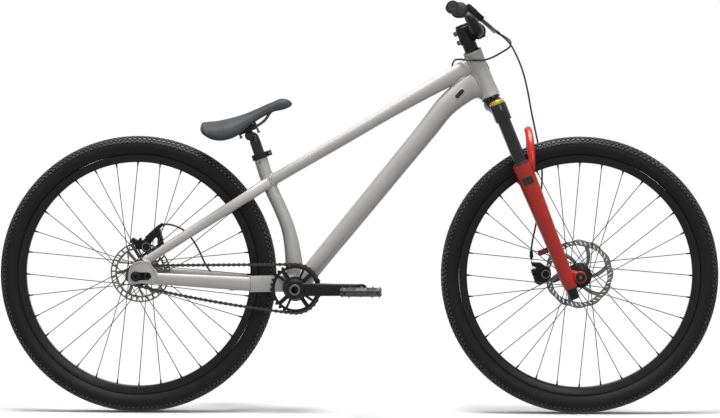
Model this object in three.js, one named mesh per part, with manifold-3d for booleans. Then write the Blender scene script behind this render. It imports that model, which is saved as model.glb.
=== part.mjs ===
// Dirt jump bike, in millimetres. +X points forward, -Y to the drive side, +Z up.
// The origin lies on the ground, midway between the axles, in the bike's middle plane.
import * as THREE from 'three';
import { mergeVertices } from 'three/addons/utils/BufferGeometryUtils.js';
import Module from 'manifold-3d';

const wasm = await Module();
wasm.setup();

// Driving dimensions: layout
const rimRadius = 299;
const tyreHeight = 46; // over the rim
const tyreRadius = rimRadius + tyreHeight;
const wheelGap = 407; // between the tyres
const wheelbase = 2 * tyreRadius + wheelGap;
const shellClear = 48; // shell's centre, ahead of the rear tyre
const bottomBracketAhead = tyreRadius + shellClear; // from the rear axle
const bottomBracketDrop = 32; // below the axles
const headAngle = THREE.MathUtils.degToRad(68);
const headClear = 149; // head tube's foot, above the front tyre
const forkLength = tyreRadius + headClear; // axle to head tube foot, along the steering axis
const forkOffset = 40.4; // axle ahead of the steering axis
const seatAngle = THREE.MathUtils.degToRad(71.2); // of the seatpost

// Driving dimensions: clearances and overruns
const seatGap = 0.3; // left between touching pieces
const cutOverrun = 6; // how far a cutting tool runs past a face

// Driving dimensions: frame
const headTubeLength = 119.5;
const headTubeTopRadius = 23.2;
const headTubeFootRadius = 24.8;
const headTubeBore = 20.6;
const topTubeHeadDrop = 28; // its centreline, below the head tube's top
const topTubeDepthSeat = 28;
const topTubeDepthHead = 43;
const topTubeWidth = 34;
const downTubeHeadRise = 31; // its centreline, above the head tube's foot
const downTubeDepth = 48;
const downTubeHeadDepth = 66;
const downTubeWidth = 46;
const frameWall = 2.2;
const seatTubeLength = 343.8;
const seatTubeLean = THREE.MathUtils.degToRad(15.4); // of the line from the shell to the seat tube's top
const seatTubeRadius = 16.6;
const seatTubeFootRadius = 21.5;
const topTubeSeatDrop = 74; // its centreline, below the seat tube's top
const shellRadius = 23;
const shellBore = 19.4;
const shellWidth = 73;
const yokeHeight = 40;
const yokeLength = 112; // from the shell's centre back to the stays
const tyreClearance = 3.6;
const prongThickness = 10.4;
const prongSpread = 47; // middle of the stay's front end, off the middle plane
const dropoutSpacing = 135.6;
const dropoutThickness = 8;
const dropoutHeight = 53;
const dropoutLength = 68;
const slotLength = 51;
const slotHeight = 21;
const chainstayDepthRear = 27;
const chainstayDepthFront = 35;
const chainstayWidth = 17;
const seatstayDepthRear = 21;
const seatstayDepthFront = 27;
const seatstayWidth = 17;
const stayWall = 2;
const seatstaySpread = 42; // beside the tyre, off the middle plane
const collarWall = 3.6;
const collarHeight = 14;
const collarLug = 11;
const axleHeadRadius = 13;
const axleHeadThickness = 8;

// Driving dimensions: wheels
const tyreWidth = 56;
const tyreWall = 3.4;
const treadFlat = 20;
const rimDepth = 20;
const rimBedRadius = rimRadius - rimDepth;
const rimWidth = 31;
const rimWall = 2.6;
const rimHook = 7;
const spokesPerSide = 16;
const spokeRadius = 1;
const spokeCrossings = 3;
const flangeRadius = 29;
const flangeThickness = 3.4;
const hubBarrelRadius = 14;
const hubEndRadius = 9.5;
const hubBore = 7.9;
const frontHubWidth = 100;
const frontFlangeRight = 35;
const frontFlangeLeft = 25;
const rearFlangeRight = 30;
const rearFlangeLeft = 34;
const frontAxleRadius = 7.5;
const rearAxleRadius = 7.5;
const frontRotorRadius = 86;
const rearRotorRadius = 75;
const rotorThickness = 1.8;
const rotorBand = 15;
const frontRotorPlane = 38; // off the middle plane
const rearRotorPlane = 52;
const wheelSegments = 30;

// Driving dimensions: fork
const legSpread = 65; // off the middle plane
const legAhead = 8.8; // of the steering axis
const steererRadius = 14.3;
const steererFootRadius = 19;
const crownSleeveRadius = 20.4;
const crownSleeveTop = 22; // along the steering axis, from the head tube's foot
const crownSleeveFoot = 66;
const crownDepth = 34;
const stanchionRadius = 16;
const stanchionWall = 2;
const lowerTopDrop = 32; // below the tyre's top
const lowerTop = forkLength - tyreRadius + lowerTopDrop;
const lowerFootDrop = 18; // below the axle
const lowerFoot = forkLength + lowerFootDrop;
const lowerTopRadius = 23.5;
const lowerMidRadius = 18;
const forkTravel = 100;
const capRadius = 19;
const capHeight = 9;
const knobRadius = 12.5;
const knobHeight = 27;
const lugRadius = 15;
const lugWidth = 21;
const stanchionInside = 140;
const archHalf = 9.5;
const archClear = 37; // above the tyre
const archApexAlong = forkLength - tyreRadius - archClear;
const archApexAhead = 56;

// Driving dimensions: cockpit
const stemReach = 31;
const stemRise = 42.5; // clamp centre, above the head tube's top
const stemHeight = 44;
const stemWallRadius = 19.5;
const stemClampHalf = 25;
const stemCap = 6.5;
const spacerRadius = 17.5;
const spacerHeight = 17;
const coverRadius = 24.5;
const coverHeight = 4.5;
const barClampRadius = 15.9;
const barRadius = 11.1;
const barWall = 2.4;
const barHalf = 380;
const barRise = 49.6;
const barRiseBack = 8;
const barSweepUp = 29.1;
const barSweepBack = 29.2;
const gripLength = 135;
const gripRadius = 15.2;
const gripEnd = 1.6;
const perchClear = 27; // perch's middle, inside the grip
const perchPlace = barHalf - gripLength - perchClear; // off the middle plane
const perchWidth = 14;
const perchInset = 26;
const leverPivotReach = 44;
const leverRoot = 7;
const pivotPin = 3.1;
const barrelRadius = 5.2;
const barrelReach = 27;
const leverReach = 80;
const leverLength = 100;
const leverThickness = 7;
const leverPitch = THREE.MathUtils.degToRad(41); // of the lever's plane, below level
const leverLift = 18; // of the lever's plane, above the bar's middle

// Driving dimensions: drive
const chainPitch = 12.7;
const ringTeeth = 30;
const cogTeeth = 12;
const chainLineOut = 12; // beyond the shell's end
const chainLine = shellWidth / 2 + chainLineOut;
const chainWidth = 6.6;
const chainHeight = 8.6;
const chainSide = 1.5;
const chainGroove = 2.7; // beyond the pitch line
const chainSag = 6;
const crankLength = 165;
const crankBossRadius = 26;
const crankBossDepth = 26;
const crankEndRadius = 15;
const crankThickness = 14;
const cupDepth = 8.5;
const bossClear = 13; // beyond the bearing cup
const bossInner = shellWidth / 2 + cupDepth + bossClear;
const crankFlare = 14;
const crankInner = bossInner + crankFlare; // inner face at the pedal, off the middle plane
const spindleRadius = 11.5;
const cupRadius = 22;
const sleeveRadius = 12.9;
const ringThickness = 4;
const ringHubRadius = 22;
const ringArm = 9;
const pedalLength = 100;
const pedalWidth = 96;
const pedalHeight = 17;
const pedalOut = 20; // beyond the crank's inner face
const pedalInner = crankInner + pedalOut;
const pedalPin = 5;
const pedalAxleRadius = 7;

// Driving dimensions: seat
const postRadius = 13.6;
const postBelow = 84; // below the seat tube's top
const postAbove = 52; // above the seat tube's top
const saddleLength = 236;
const saddleWidth = 136;
const saddleNoseWidth = 40;
const saddleLean = THREE.MathUtils.degToRad(14.1);
const saddleTailBack = 145.3; // from the seat tube's top
const saddleTailUp = 58.5;
const saddleDrop = 38; // from the tail's level down to the lowest side edge
const padThickness = 12;
const baseWall = 3;
const railRadius = 3.5;
const railSpread = 22;
const railBack = 29.3; // of the clamp's middle, from the seat tube's top
const railUp = 61.5;
const clampLength = 50;
const clampHeight = 14;
const headRadius = 12.5;
const clampWidth = 54;

// Driving dimensions: brakes
const hoseRadius = 2.3;
const hoseClear = 0.45;
const hoseTurn = THREE.MathUtils.degToRad(7); // least turn between two sections of a housing
const caliperSlot = 3.6;
const wireRadius = 0.9;
const anchorGap = 4.6;
const stopLength = 18;
const caliperRise = 64; // its upper end, above the axle
const caliperAlong = forkLength - caliperRise; // from the head tube's foot
const upperTabRise = 82;
const lowerTabRise = 6;
const caliperLength = 58;
const caliperBack = -62; // from the steering axis
const caliperDepth = 40;
const tabPlane = 66;
const tabThickness = 8;
const rearCaliperReach = 6;
const rearCaliperOver = 16;
const rearCaliperHeight = 28;
const rearCaliperBack = 28;
const rearCaliperLength = 68;
const caliperThickness = 32;
const caliperArmThickness = 4;

// Materials, one colour, roughness and metalness for each finish
const finish = (color, roughness, metalness) => new THREE.MeshStandardMaterial({ color, roughness, metalness });
const rawAluminium = () => finish(0xb9b7b3, 0.38, 0.85);
const blackAluminium = () => finish(0x1b1b1c, 0.4, 0.5);
const blackPlastic = () => finish(0x161617, 0.6, 0);
const rubber = () => finish(0x1d1d1e, 0.85, 0);
const redPaint = () => finish(0xd8281c, 0.35, 0.1);
const goldAluminium = () => finish(0xd9a514, 0.35, 0.6);
const steel = () => finish(0x6e6a66, 0.35, 0.9);
const chainSteel = () => finish(0x4a453f, 0.4, 0.85);
const saddleCover = () => finish(0x26272b, 0.75, 0);

const vec = (x, y, z) => new THREE.Vector3(x, y, z);
const acrossAxis = vec(0, 1, 0);

// Places in the side view, as points of the middle plane
const rearAxle = vec(-wheelbase / 2, 0, tyreRadius);
const frontAxle = vec(wheelbase / 2, 0, tyreRadius);
const shellCentre = vec(rearAxle.x + bottomBracketAhead, 0, tyreRadius - bottomBracketDrop);
const steerDown = vec(Math.cos(headAngle), 0, -Math.sin(headAngle));
const steerAhead = vec(Math.sin(headAngle), 0, Math.cos(headAngle));
const headFoot = frontAxle.clone().addScaledVector(steerDown, -forkLength).addScaledVector(steerAhead, -forkOffset);
const seatTubeTop = vec(-Math.sin(seatTubeLean), 0, Math.cos(seatTubeLean))
  .multiplyScalar(seatTubeLength)
  .add(shellCentre);
const postUp = vec(-Math.cos(seatAngle), 0, Math.sin(seatAngle));
const postAhead = vec(Math.sin(seatAngle), 0, Math.cos(seatAngle));
const downTubeHead = headFoot.clone().addScaledVector(steerDown, -downTubeHeadRise);
const topTubeHead = headFoot.clone().addScaledVector(steerDown, topTubeHeadDrop - headTubeLength);
const topTubeSeat = seatTubeTop.clone().addScaledVector(postUp, -topTubeSeatDrop);

// Caliper pivots and the cable ends of their arms
const frontPivot = vec(frontAxle.x - frontRotorRadius * 0.96, 0, frontAxle.z);
const frontArmEnd = frontPivot.clone().add(vec(-frontRotorRadius * 0.34, 0, -frontRotorRadius * 0.03));
const rearPivot = vec(rearAxle.x + rearRotorRadius * 0.23, 0, rearAxle.z + rearRotorRadius * 0.88);
const rearArmEnd = rearPivot.clone().add(vec(-rearRotorRadius * 0.27, 0, rearRotorRadius * 0.08));
const caliperTabs = [[forkLength - upperTabRise, -30], [forkLength - lowerTabRise, -22]]; // along and ahead of the steering axis

// A point given along and ahead of the steering axis, from the head tube's foot
function steerPoint(along, ahead, across = 0) {
  const point = headFoot.clone().addScaledVector(steerDown, along).addScaledVector(steerAhead, ahead);
  point.y = across;
  return point;
}

// A point given along and ahead of the seatpost's axis, from the seat tube's top
function postPoint(along, ahead, across = 0) {
  const point = seatTubeTop.clone().addScaledVector(postUp, along).addScaledVector(postAhead, ahead);
  point.y = across;
  return point;
}

// A geometry made of its bare corners, as a solid that can be joined and cut
function solid(geometry) {
  const bare = new THREE.BufferGeometry();
  bare.setAttribute('position', geometry.getAttribute('position').clone());
  if (geometry.index) bare.setIndex(geometry.index.clone());
  const merged = mergeVertices(bare, mergeStep);
  return new wasm.Manifold(new wasm.Mesh({
    numProp: 3,
    vertProperties: new Float32Array(merged.getAttribute('position').array),
    triVerts: new Uint32Array(merged.index.array),
  }));
}
const mergeStep = 1e-4 * tyreRadius / 345;

function geometryOf(body) {
  const mesh = body.getMesh();
  const geometry = new THREE.BufferGeometry();
  const step = mesh.numProp;
  const positions = new Float32Array((mesh.vertProperties.length / step) * 3);
  for (let i = 0; i < positions.length / 3; i += 1) {
    positions.set(mesh.vertProperties.subarray(i * step, i * step + 3), i * 3);
  }
  geometry.setAttribute('position', new THREE.BufferAttribute(positions, 3));
  geometry.setIndex(new THREE.BufferAttribute(new Uint32Array(mesh.triVerts), 1));
  return geometry;
}

const join = (...bodies) => bodies.reduce((sum, body) => sum.add(body));
const cut = (body, ...tools) => tools.reduce((rest, tool) => rest.subtract(tool), body);

// A closed solid from corner points and triangles, turned so that its faces point out
function fromFaces(points, faces) {
  let volume = 0;
  for (const [a, b, c] of faces) volume += points[a].dot(points[b].clone().cross(points[c]));
  const turned = volume < 0 ? faces.map(([a, b, c]) => [a, c, b]) : faces;
  const geometry = new THREE.BufferGeometry();
  geometry.setAttribute('position', new THREE.Float32BufferAttribute(points.flatMap((p) => [p.x, p.y, p.z]), 3));
  geometry.setIndex(turned.flat());
  return solid(geometry);
}

// Rings of equal count joined into a solid: capped at both ends, or closed into a loop
function loft(rings, looped = false) {
  const sides = rings[0].length;
  const points = rings.flat();
  const faces = [];
  const spans = looped ? rings.length : rings.length - 1;
  for (let r = 0; r < spans; r += 1) {
    const next = ((r + 1) % rings.length) * sides;
    for (let i = 0; i < sides; i += 1) {
      const j = (i + 1) % sides;
      faces.push([r * sides + i, r * sides + j, next + j], [r * sides + i, next + j, next + i]);
    }
  }
  if (!looped) {
    const last = (rings.length - 1) * sides;
    for (let i = 1; i < sides - 1; i += 1) {
      faces.push([0, i + 1, i], [last, last + i, last + i + 1]);
    }
  }
  return fromFaces(points, faces);
}

// One ring round a centre; squareness 1 is an ellipse, less is nearer a rounded box
function ring(centre, axisA, axisB, radiusA, radiusB, sides, squareness = 1) {
  const bend = (value) => Math.sign(value) * Math.abs(value) ** squareness;
  return Array.from({ length: sides }, (_, i) => {
    const angle = ((i + 0.5) / sides) * 2 * Math.PI;
    return centre.clone()
      .addScaledVector(axisA, radiusA * bend(Math.cos(angle)))
      .addScaledVector(axisB, radiusB * bend(Math.sin(angle)));
  });
}

// Frames along a line of points, carried on without twist from a first reference direction
function framesAlong(points, reference) {
  let across = reference.clone();
  return points.map((point, i) => {
    const before = points[Math.max(i - 1, 0)];
    const after = points[Math.min(i + 1, points.length - 1)];
    const along = after.clone().sub(before).normalize();
    across = across.clone().addScaledVector(along, -across.dot(along)).normalize();
    return { point, across, normal: along.clone().cross(across) };
  });
}

// A tube through stations {at, normal radius, across radius}; a wall makes it hollow and open
function tube(stations, { reference = acrossAxis, sides = 16, wall = 0, squareness = 1 } = {}) {
  const frames = framesAlong(stations.map((s) => s.at), reference);
  const ringsOf = (less) => frames.map(({ point, across, normal }, i) => ring(
    point, across, normal, stations[i].across - less, stations[i].depth - less, sides, squareness,
  ));
  if (wall === 0) return loft(ringsOf(0));
  return loft([...ringsOf(0), ...ringsOf(wall).reverse()], true);
}

const round = (at, radius) => ({ at, across: radius, depth: radius });

// A round rod between two points
function rod(from, to, radius, sides = 16, endRadius = radius) {
  const along = to.clone().sub(from);
  const reference = Math.abs(along.clone().normalize().y) > 0.9 ? vec(1, 0, 0) : acrossAxis;
  return tube([round(from, radius), round(to, endRadius)], { reference, sides });
}

// A solid turned about a cross axle from a closed profile of [off the middle plane, radius]
function turned(centre, profile, sides, phase = 0.5) {
  const rings = profile.map(([across, radius]) => Array.from({ length: sides }, (_, i) => {
    const angle = ((i + phase) / sides) * 2 * Math.PI;
    return vec(centre.x + radius * Math.cos(angle), across, centre.z + radius * Math.sin(angle));
  }));
  return loft(rings, true);
}

// A flat piece: an outline of side-view points {x, z}, with holes, between two planes across
function plate(outline, nearSide, farSide, holes = []) {
  const shape = new THREE.Shape(outline.map((p) => new THREE.Vector2(p.x, p.z)));
  shape.holes = holes.map((hole) => new THREE.Path(hole.map((p) => new THREE.Vector2(p.x, p.z))));
  const geometry = new THREE.ExtrudeGeometry(shape, { depth: farSide - nearSide, bevelEnabled: false });
  geometry.rotateX(Math.PI / 2);
  geometry.translate(0, farSide, 0);
  return solid(geometry);
}

const sidePoint = (x, z) => ({ x, z });
const circle = (centre, radius, count, phase = 0) => Array.from({ length: count }, (_, i) => {
  const angle = ((i + phase) / count) * 2 * Math.PI;
  return sidePoint(centre.x + radius * Math.cos(angle), centre.z + radius * Math.sin(angle));
});
const dot = (point) => sidePoint(point.x, point.z);

// A box between two points along a direction, wide across and thick along the third axis
function bar(from, to, halfWidth, halfDepth, reference = acrossAxis) {
  return tube([
    { at: from, across: halfWidth * Math.SQRT2, depth: halfDepth * Math.SQRT2 },
    { at: to, across: halfWidth * Math.SQRT2, depth: halfDepth * Math.SQRT2 },
  ], { reference, sides: 4 });
}

const mirrorAcross = (body) => {
  const mesh = geometryOf(body);
  mesh.scale(1, -1, 1);
  const index = mesh.index.array;
  for (let i = 0; i < index.length; i += 3) [index[i], index[i + 1]] = [index[i + 1], index[i]];
  return solid(mesh);
};

const bike = new THREE.Group();
bike.name = 'dirt_jump_bike';
function add(name, body, material) {
  const mesh = new THREE.Mesh(geometryOf(body), material);
  mesh.name = name;
  bike.add(mesh);
}

// Stations along a straight line between two places, pushed off it by shares of its length
function stationsBetween(start, end, shares, depthOf, acrossOf) {
  const length = start.distanceTo(end);
  const along = end.clone().sub(start).normalize();
  const up = vec(-along.z, 0, along.x);
  return shares.map(([alongShare, offShare, depthShare, acrossShare]) => ({
    at: start.clone().addScaledVector(along, alongShare * length).addScaledVector(up, offShare * length),
    depth: depthOf(depthShare) / 2,
    across: acrossOf(acrossShare) / 2,
  }));
}

// Head tube, wider at the foot, with its bore
function headTubeBody(grow, bored) {
  const outer = [
    [0, headTubeFootRadius], [0.12, headTubeFootRadius], [0.3, headTubeTopRadius],
    [0.9, headTubeTopRadius], [1, headTubeTopRadius],
  ].map(([share, radius]) => round(steerPoint(-share * headTubeLength, 0), radius + grow));
  const body = tube(outer, { sides: 16 });
  if (!bored) return body;
  return cut(body, rod(steerPoint(cutOverrun, 0), steerPoint(-headTubeLength - cutOverrun, 0), headTubeBore, 16));
}
const headTubeTool = headTubeBody(seatGap, false);

// Seat tube, bowed forward over the tyre, wider at its foot
const seatTubeShares = [
  [0, 0, 1], [0.18, 0.033, 0.95], [0.3, 0.05, 0.5], [0.43, 0.0567, 0.12], [0.58, 0.041, 0],
  [0.73, 0.0158, 0], [1, 0, 0],
];
function seatTubeStations(grow) {
  return stationsBetween(
    shellCentre,
    seatTubeTop,
    seatTubeShares.map(([along, off, share]) => [along, -off, share, share]),
    (share) => 2 * (seatTubeRadius + grow + share * (seatTubeFootRadius - seatTubeRadius)),
    (share) => 2 * (seatTubeRadius + grow + share * (seatTubeFootRadius - seatTubeRadius)),
  );
}
const seatTubeTool = tube(seatTubeStations(seatGap), { sides: 14 });
const shellTool = rod(
  vec(shellCentre.x, -shellWidth / 2 - cutOverrun, shellCentre.z),
  vec(shellCentre.x, shellWidth / 2 + cutOverrun, shellCentre.z),
  shellRadius + seatGap,
  20,
);

// Top tube: depth share 0 at the seat tube, 1 at the head tube
const topTubeShares = [[0, 0, 0, 0.9], [0.3, 0.001, 0.12, 0.95], [0.62, 0.003, 0.33, 1], [0.8, 0.002, 0.72, 1],
  [0.92, 0, 1, 0.98], [1, 0, 1, 0.9]];
function topTubeStations(grow) {
  return stationsBetween(
    topTubeSeat,
    topTubeHead,
    topTubeShares,
    (share) => topTubeDepthSeat + share * (topTubeDepthHead - topTubeDepthSeat) + 2 * grow,
    (share) => topTubeWidth * share + 2 * grow,
  );
}
const topTubeTool = tube(topTubeStations(seatGap), { sides: 12, squareness: 0.8 });

// Down tube: straight for most of its length, then curved under to the head tube's foot
const downTubeShares = [[0, -0.006, -0.24, 0.92], [0.09, 0.001, -0.24, 0.96], [0.35, 0.0181, -0.1, 1],
  [0.586, 0.0336, 0, 1], [0.7395, 0.0437, 0.1, 1], [0.8517, 0.0521, 0.28, 0.98], [0.909, 0.046, 0.56, 0.96],
  [0.962, 0.035, 0.95, 0.9], [1, 0.004, 1, 0.8]];
function downTubeStations() {
  return stationsBetween(
    shellCentre,
    downTubeHead,
    downTubeShares,
    (share) => downTubeDepth + share * (downTubeHeadDepth - downTubeDepth),
    (share) => downTubeWidth * share,
  );
}

// Route of the rear brake housing, from the lever through the frame to the rear caliper
const rearHoseRoute = [
  [299, -170, 981], [319, -149, 964.5], [341, -122, 947], [361, -94, 935], [374, -65, 924], [373, -44, 912],
  [350, -30, 896], [327, -26.5, 884], [310, -26.5, 879], [292, -28, 878], [272, -27, 878], [256, -20, 880],
  [244, -8, 880], [236, 8, 876], [232, 20, 866], [232, 26, 850], [236, 28.5, 832], [243, 29, 815],
  [247, 26, 799], [242, 16, 785], [228, 8, 767], [170, 2, 703], [0, 2, 497],
  [-80, 3, 400], [-118, 4, 353], [-134, 6, 334.5], [-146.5, 9, 327.2], [-159, 13, 329.2], [-170, 17, 321],
  [-178, 20, 320.5], [-188, 26.5, 322], [-200, 34, 324], [-216, 37, 326], [-240, 41, 327], [-268, 46.5, 327],
  [-305, 50, 328], [-340, 53.5, 331], [-362, 56.5, 338], [-377, 59, 352], [-390, 63, 373],
  [-404, 67, 402], [-421, 69.5, 429], [-439, 69, 448], [-460, 66, 460], [-480, 63.5, 465], [-496, 62, 463.5],
  [-505, 62, 457],
];
// Route of the front brake housing, down the fork's left side to the front caliper
const frontHoseRoute = [
  [299, 170, 981], [319, 149, 964.5], [341, 130, 948], [361, 116, 934], [377, 106, 917], [394, 96, 886],
  [410, 86, 844], [421, 78, 798], [430, 72, 748], [440, 65, 700], [450, 56, 650], [456, 47, 605],
  [455, 39, 562], [448, 36, 510], [440, 38, 462], [433, 46, 426], [430.5, 56, 400], [431, 60, 386],
];
function hose(route, radius) {
  const curve = new THREE.CatmullRomCurve3(route.map(([x, y, z]) => vec(x, y, z)), false, 'centripetal');
  const points = curve.getPoints(2 * (route.length - 1));
  const kept = [points[0]];
  for (let i = 1; i < points.length - 1; i += 1) {
    const before = points[i].clone().sub(kept[kept.length - 1]);
    const after = points[i + 1].clone().sub(points[i]);
    if (before.angleTo(after) > hoseTurn) kept.push(points[i]);
  }
  kept.push(points[points.length - 1]);
  return tube(kept.map((point) => round(point, radius)), { sides: 8 });
}
const hoseTunnel = hose(rearHoseRoute, hoseRadius + hoseClear);
// A socket for a housing's first stretch
function hoseStart(route) {
  const [start, next] = route.map((point) => vec(...point));
  const along = next.clone().sub(start).normalize();
  return rod(start.clone().addScaledVector(along, -hoseRadius), start.clone().addScaledVector(along, 6 * hoseRadius),
    hoseRadius + 2 * hoseClear, 8);
}

add('head_tube', headTubeBody(0, true), rawAluminium());
add('seat_tube', cut(
  tube(seatTubeStations(0), { sides: 14, wall: frameWall }),
  shellTool,
  rod(postPoint(-postBelow - cutOverrun, 0), postPoint(cutOverrun, 0), postRadius + 2 * seatGap, 16),
  hoseTunnel,
), rawAluminium());
add('top_tube', cut(
  tube(topTubeStations(0), { sides: 12, wall: frameWall, squareness: 0.8 }),
  headTubeTool,
  seatTubeTool,
), rawAluminium());
add('down_tube', cut(
  tube(downTubeStations(), { sides: 12, wall: frameWall, squareness: 0.85 }),
  headTubeTool,
  topTubeTool,
  seatTubeTool,
  shellTool,
  hoseTunnel,
), rawAluminium());

// Bottom bracket shell, with the ways for the brake housing
add('bottom_bracket_shell', cut(
  turned(shellCentre, [
    [-shellWidth / 2, shellRadius], [shellWidth / 2, shellRadius],
    [shellWidth / 2, shellBore], [-shellWidth / 2, shellBore],
  ], 20),
  hoseTunnel,
), rawAluminium());

// Yoke: a plate behind the shell with a prong on each side of the tyre
const prongInner = tyreWidth / 2 + tyreClearance;
const yokeMiddle = shellCentre.z + bottomBracketDrop * 0.36;
const yokeBack = shellCentre.x - yokeLength;
const yokeWebBack = rearAxle.x + tyreRadius + tyreClearance;
function planSolid(outline, low, high) {
  const shape = new THREE.Shape(outline.map(([x, y]) => new THREE.Vector2(x, y)));
  const geometry = new THREE.ExtrudeGeometry(shape, { depth: high - low, bevelEnabled: false });
  geometry.translate(0, 0, low);
  return solid(geometry);
}
const prongOuter = prongInner + prongThickness;
const prongFlare = yokeBack + prongSpread * 0.8;
const yokeOutline = [
  [shellCentre.x, -shellWidth * 0.44],
  [shellCentre.x - shellRadius * 1.5, -prongOuter + prongThickness * 0.3],
  [yokeWebBack - prongThickness, -prongOuter],
  [prongFlare, -prongOuter],
  [yokeBack, -prongSpread - prongThickness * 0.6],
  [yokeBack, -prongSpread + prongThickness * 0.7],
  [prongFlare, -prongInner],
  [yokeWebBack - prongThickness, -prongInner],
  [yokeWebBack, -prongInner * 0.72],
];
const yokeRight = yokeOutline;
const yokeLeft = [...yokeOutline].reverse().map(([x, y]) => [x, -y]);
add('chainstay_yoke', cut(
  planSolid([...yokeRight, ...yokeLeft], yokeMiddle - yokeHeight / 2, yokeMiddle + yokeHeight / 2),
  shellTool,
  seatTubeTool,
  hoseTunnel,
), rawAluminium());

// Dropouts: rounded plates with a long slot for the axle
const plateInner = dropoutSpacing / 2;
const dropoutShares = [
  [-0.25, -0.3], [0.62, -0.3], [0.74, -0.18], [0.74, 0.2], [0.62, 0.42], [0.46, 0.69], [0.1, 0.69],
  [-0.1, 0.58], [-0.23, 0.32], [-0.27, 0.08], [-0.27, -0.14],
];
const dropoutOutline = dropoutShares.map(([x, z]) => sidePoint(
  rearAxle.x + x * dropoutLength,
  rearAxle.z + z * dropoutHeight,
));
const slotFrontShare = 0.76;
const slotMiddle = (slotFrontShare - 0.5) * slotLength;
function slotOutline(grow) {
  const radius = slotHeight / 2 + grow;
  const reach = (slotLength - slotHeight) / 2;
  const half = (side) => Array.from({ length: 7 }, (_, i) => {
    const angle = side * (Math.PI / 2) - Math.PI / 2 + (i / 6) * Math.PI - Math.PI / 2 + Math.PI / 2;
    return sidePoint(
      rearAxle.x + slotMiddle + side * reach + radius * Math.cos(angle + (side > 0 ? -Math.PI / 2 : -Math.PI / 2)),
      rearAxle.z + radius * Math.sin(angle + (side > 0 ? -Math.PI / 2 : -Math.PI / 2)),
    );
  });
  return [...half(1), ...half(-1)];
}
for (const [name, side] of [['right', -1], ['left', 1]]) {
  const inner = side * plateInner;
  const outer = side * (plateInner + dropoutThickness);
  add(`${name}_dropout`, plate(dropoutOutline, Math.min(inner, outer), Math.max(inner, outer), [slotOutline(0)]),
    rawAluminium());
}
const dropoutTool = plate(
  dropoutShares.map(([x, z]) => sidePoint(
    rearAxle.x + x * (dropoutLength + 2 * seatGap),
    rearAxle.z + z * (dropoutHeight + 2 * seatGap),
  )),
  plateInner - seatGap,
  plateInner + dropoutThickness + seatGap,
);

// Left chainstay; the right one is its mirror image
const stayRear = vec(rearAxle.x + dropoutLength * 0.6, plateInner, rearAxle.z - dropoutHeight * 0.09);
const stayFront = vec(yokeBack - seatGap, prongSpread, yokeMiddle);
const chainstayShares = [[0, 0.1], [0.2, 0.3], [0.55, 0.62], [1, 1]];
function chainstayBody() {
  const stations = chainstayShares.map(([share, spreadShare]) => {
    const at = stayRear.clone().lerp(stayFront, share);
    at.y = plateInner + (prongSpread - plateInner) * spreadShare ** 1.2;
    return {
      at,
      depth: (chainstayDepthRear + share * (chainstayDepthFront - chainstayDepthRear)) / 2,
      across: chainstayWidth / 2,
    };
  });
  return cut(tube(stations, { sides: 12, wall: stayWall, squareness: 0.7 }), dropoutTool);
}
const yokeFaceTool = planSolid(
  [[yokeBack - seatGap, -shellWidth], [yokeBack + yokeLength, -shellWidth], [yokeBack + yokeLength, shellWidth],
    [yokeBack - seatGap, shellWidth]],
  yokeMiddle - yokeHeight,
  yokeMiddle + yokeHeight,
);
const leftChainstay = cut(chainstayBody(), yokeFaceTool);
add('right_chainstay', mirrorAcross(leftChainstay), rawAluminium());
add('left_chainstay', cut(leftChainstay, hoseTunnel), rawAluminium());

// Left seatstay, in line with the top tube from the side
const seatstayRear = vec(rearAxle.x + dropoutLength * 0.3, plateInner, rearAxle.z + dropoutHeight * 0.66);
const seatstayShares = [[0, 0.08, 0], [0.12, 0.2, 0.08], [0.5, 0.7, 0.4], [0.75, 1, 0.8], [0.88, 1.42, 1],
  [1, 2.15, 1]];
function seatstayBody() {
  const stations = seatstayShares.map(([share, spreadShare, depthShare]) => {
    const at = seatstayRear.clone().lerp(topTubeSeat, share);
    at.y = plateInner + (seatstaySpread - plateInner) * spreadShare;
    return {
      at,
      depth: (seatstayDepthRear + depthShare * (seatstayDepthFront - seatstayDepthRear)) / 2,
      across: seatstayWidth / 2,
    };
  });
  return cut(tube(stations, { sides: 12, wall: stayWall, squareness: 0.8 }), dropoutTool, seatTubeTool);
}
const leftSeatstay = seatstayBody();
add('right_seatstay', mirrorAcross(leftSeatstay), rawAluminium());
add('left_seatstay', leftSeatstay, rawAluminium());

// Seat collar with its bolt lug, round the seat tube's top
const collarInner = seatTubeRadius + seatGap * 1.5;
const collarTop = seatGap * 6;
function collarBody() {
  const body = join(
    rod(postPoint(-collarHeight + collarTop, 0), postPoint(collarTop, 0), collarInner + collarWall, 16),
    bar(postPoint(-collarHeight / 2 + collarTop, collarInner), postPoint(-collarHeight / 2 + collarTop,
      collarInner + collarLug), collarLug * 0.62, collarHeight * 0.42),
  );
  return cut(
    body,
    rod(postPoint(-collarHeight - cutOverrun, 0), postPoint(cutOverrun, 0), collarInner + seatGap, 16),
    bar(postPoint(-collarHeight / 2, collarInner * 0.5), postPoint(-collarHeight / 2, collarInner + 2 * collarLug),
      seatGap * 3, collarHeight),
  );
}
add('seat_collar', collarBody(), blackAluminium());

// Bottom bracket: two outboard cups on one sleeve
const cupStart = shellWidth / 2 + seatGap;
const cupEnd = cupStart + cupDepth;
add('bottom_bracket', turned(shellCentre, [
  [-cupEnd, cupRadius], [-cupStart, cupRadius], [-cupStart, sleeveRadius], [cupStart, sleeveRadius],
  [cupStart, cupRadius], [cupEnd, cupRadius], [cupEnd, spindleRadius + seatGap], [-cupEnd, spindleRadius + seatGap],
], 18), blackAluminium());

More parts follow.
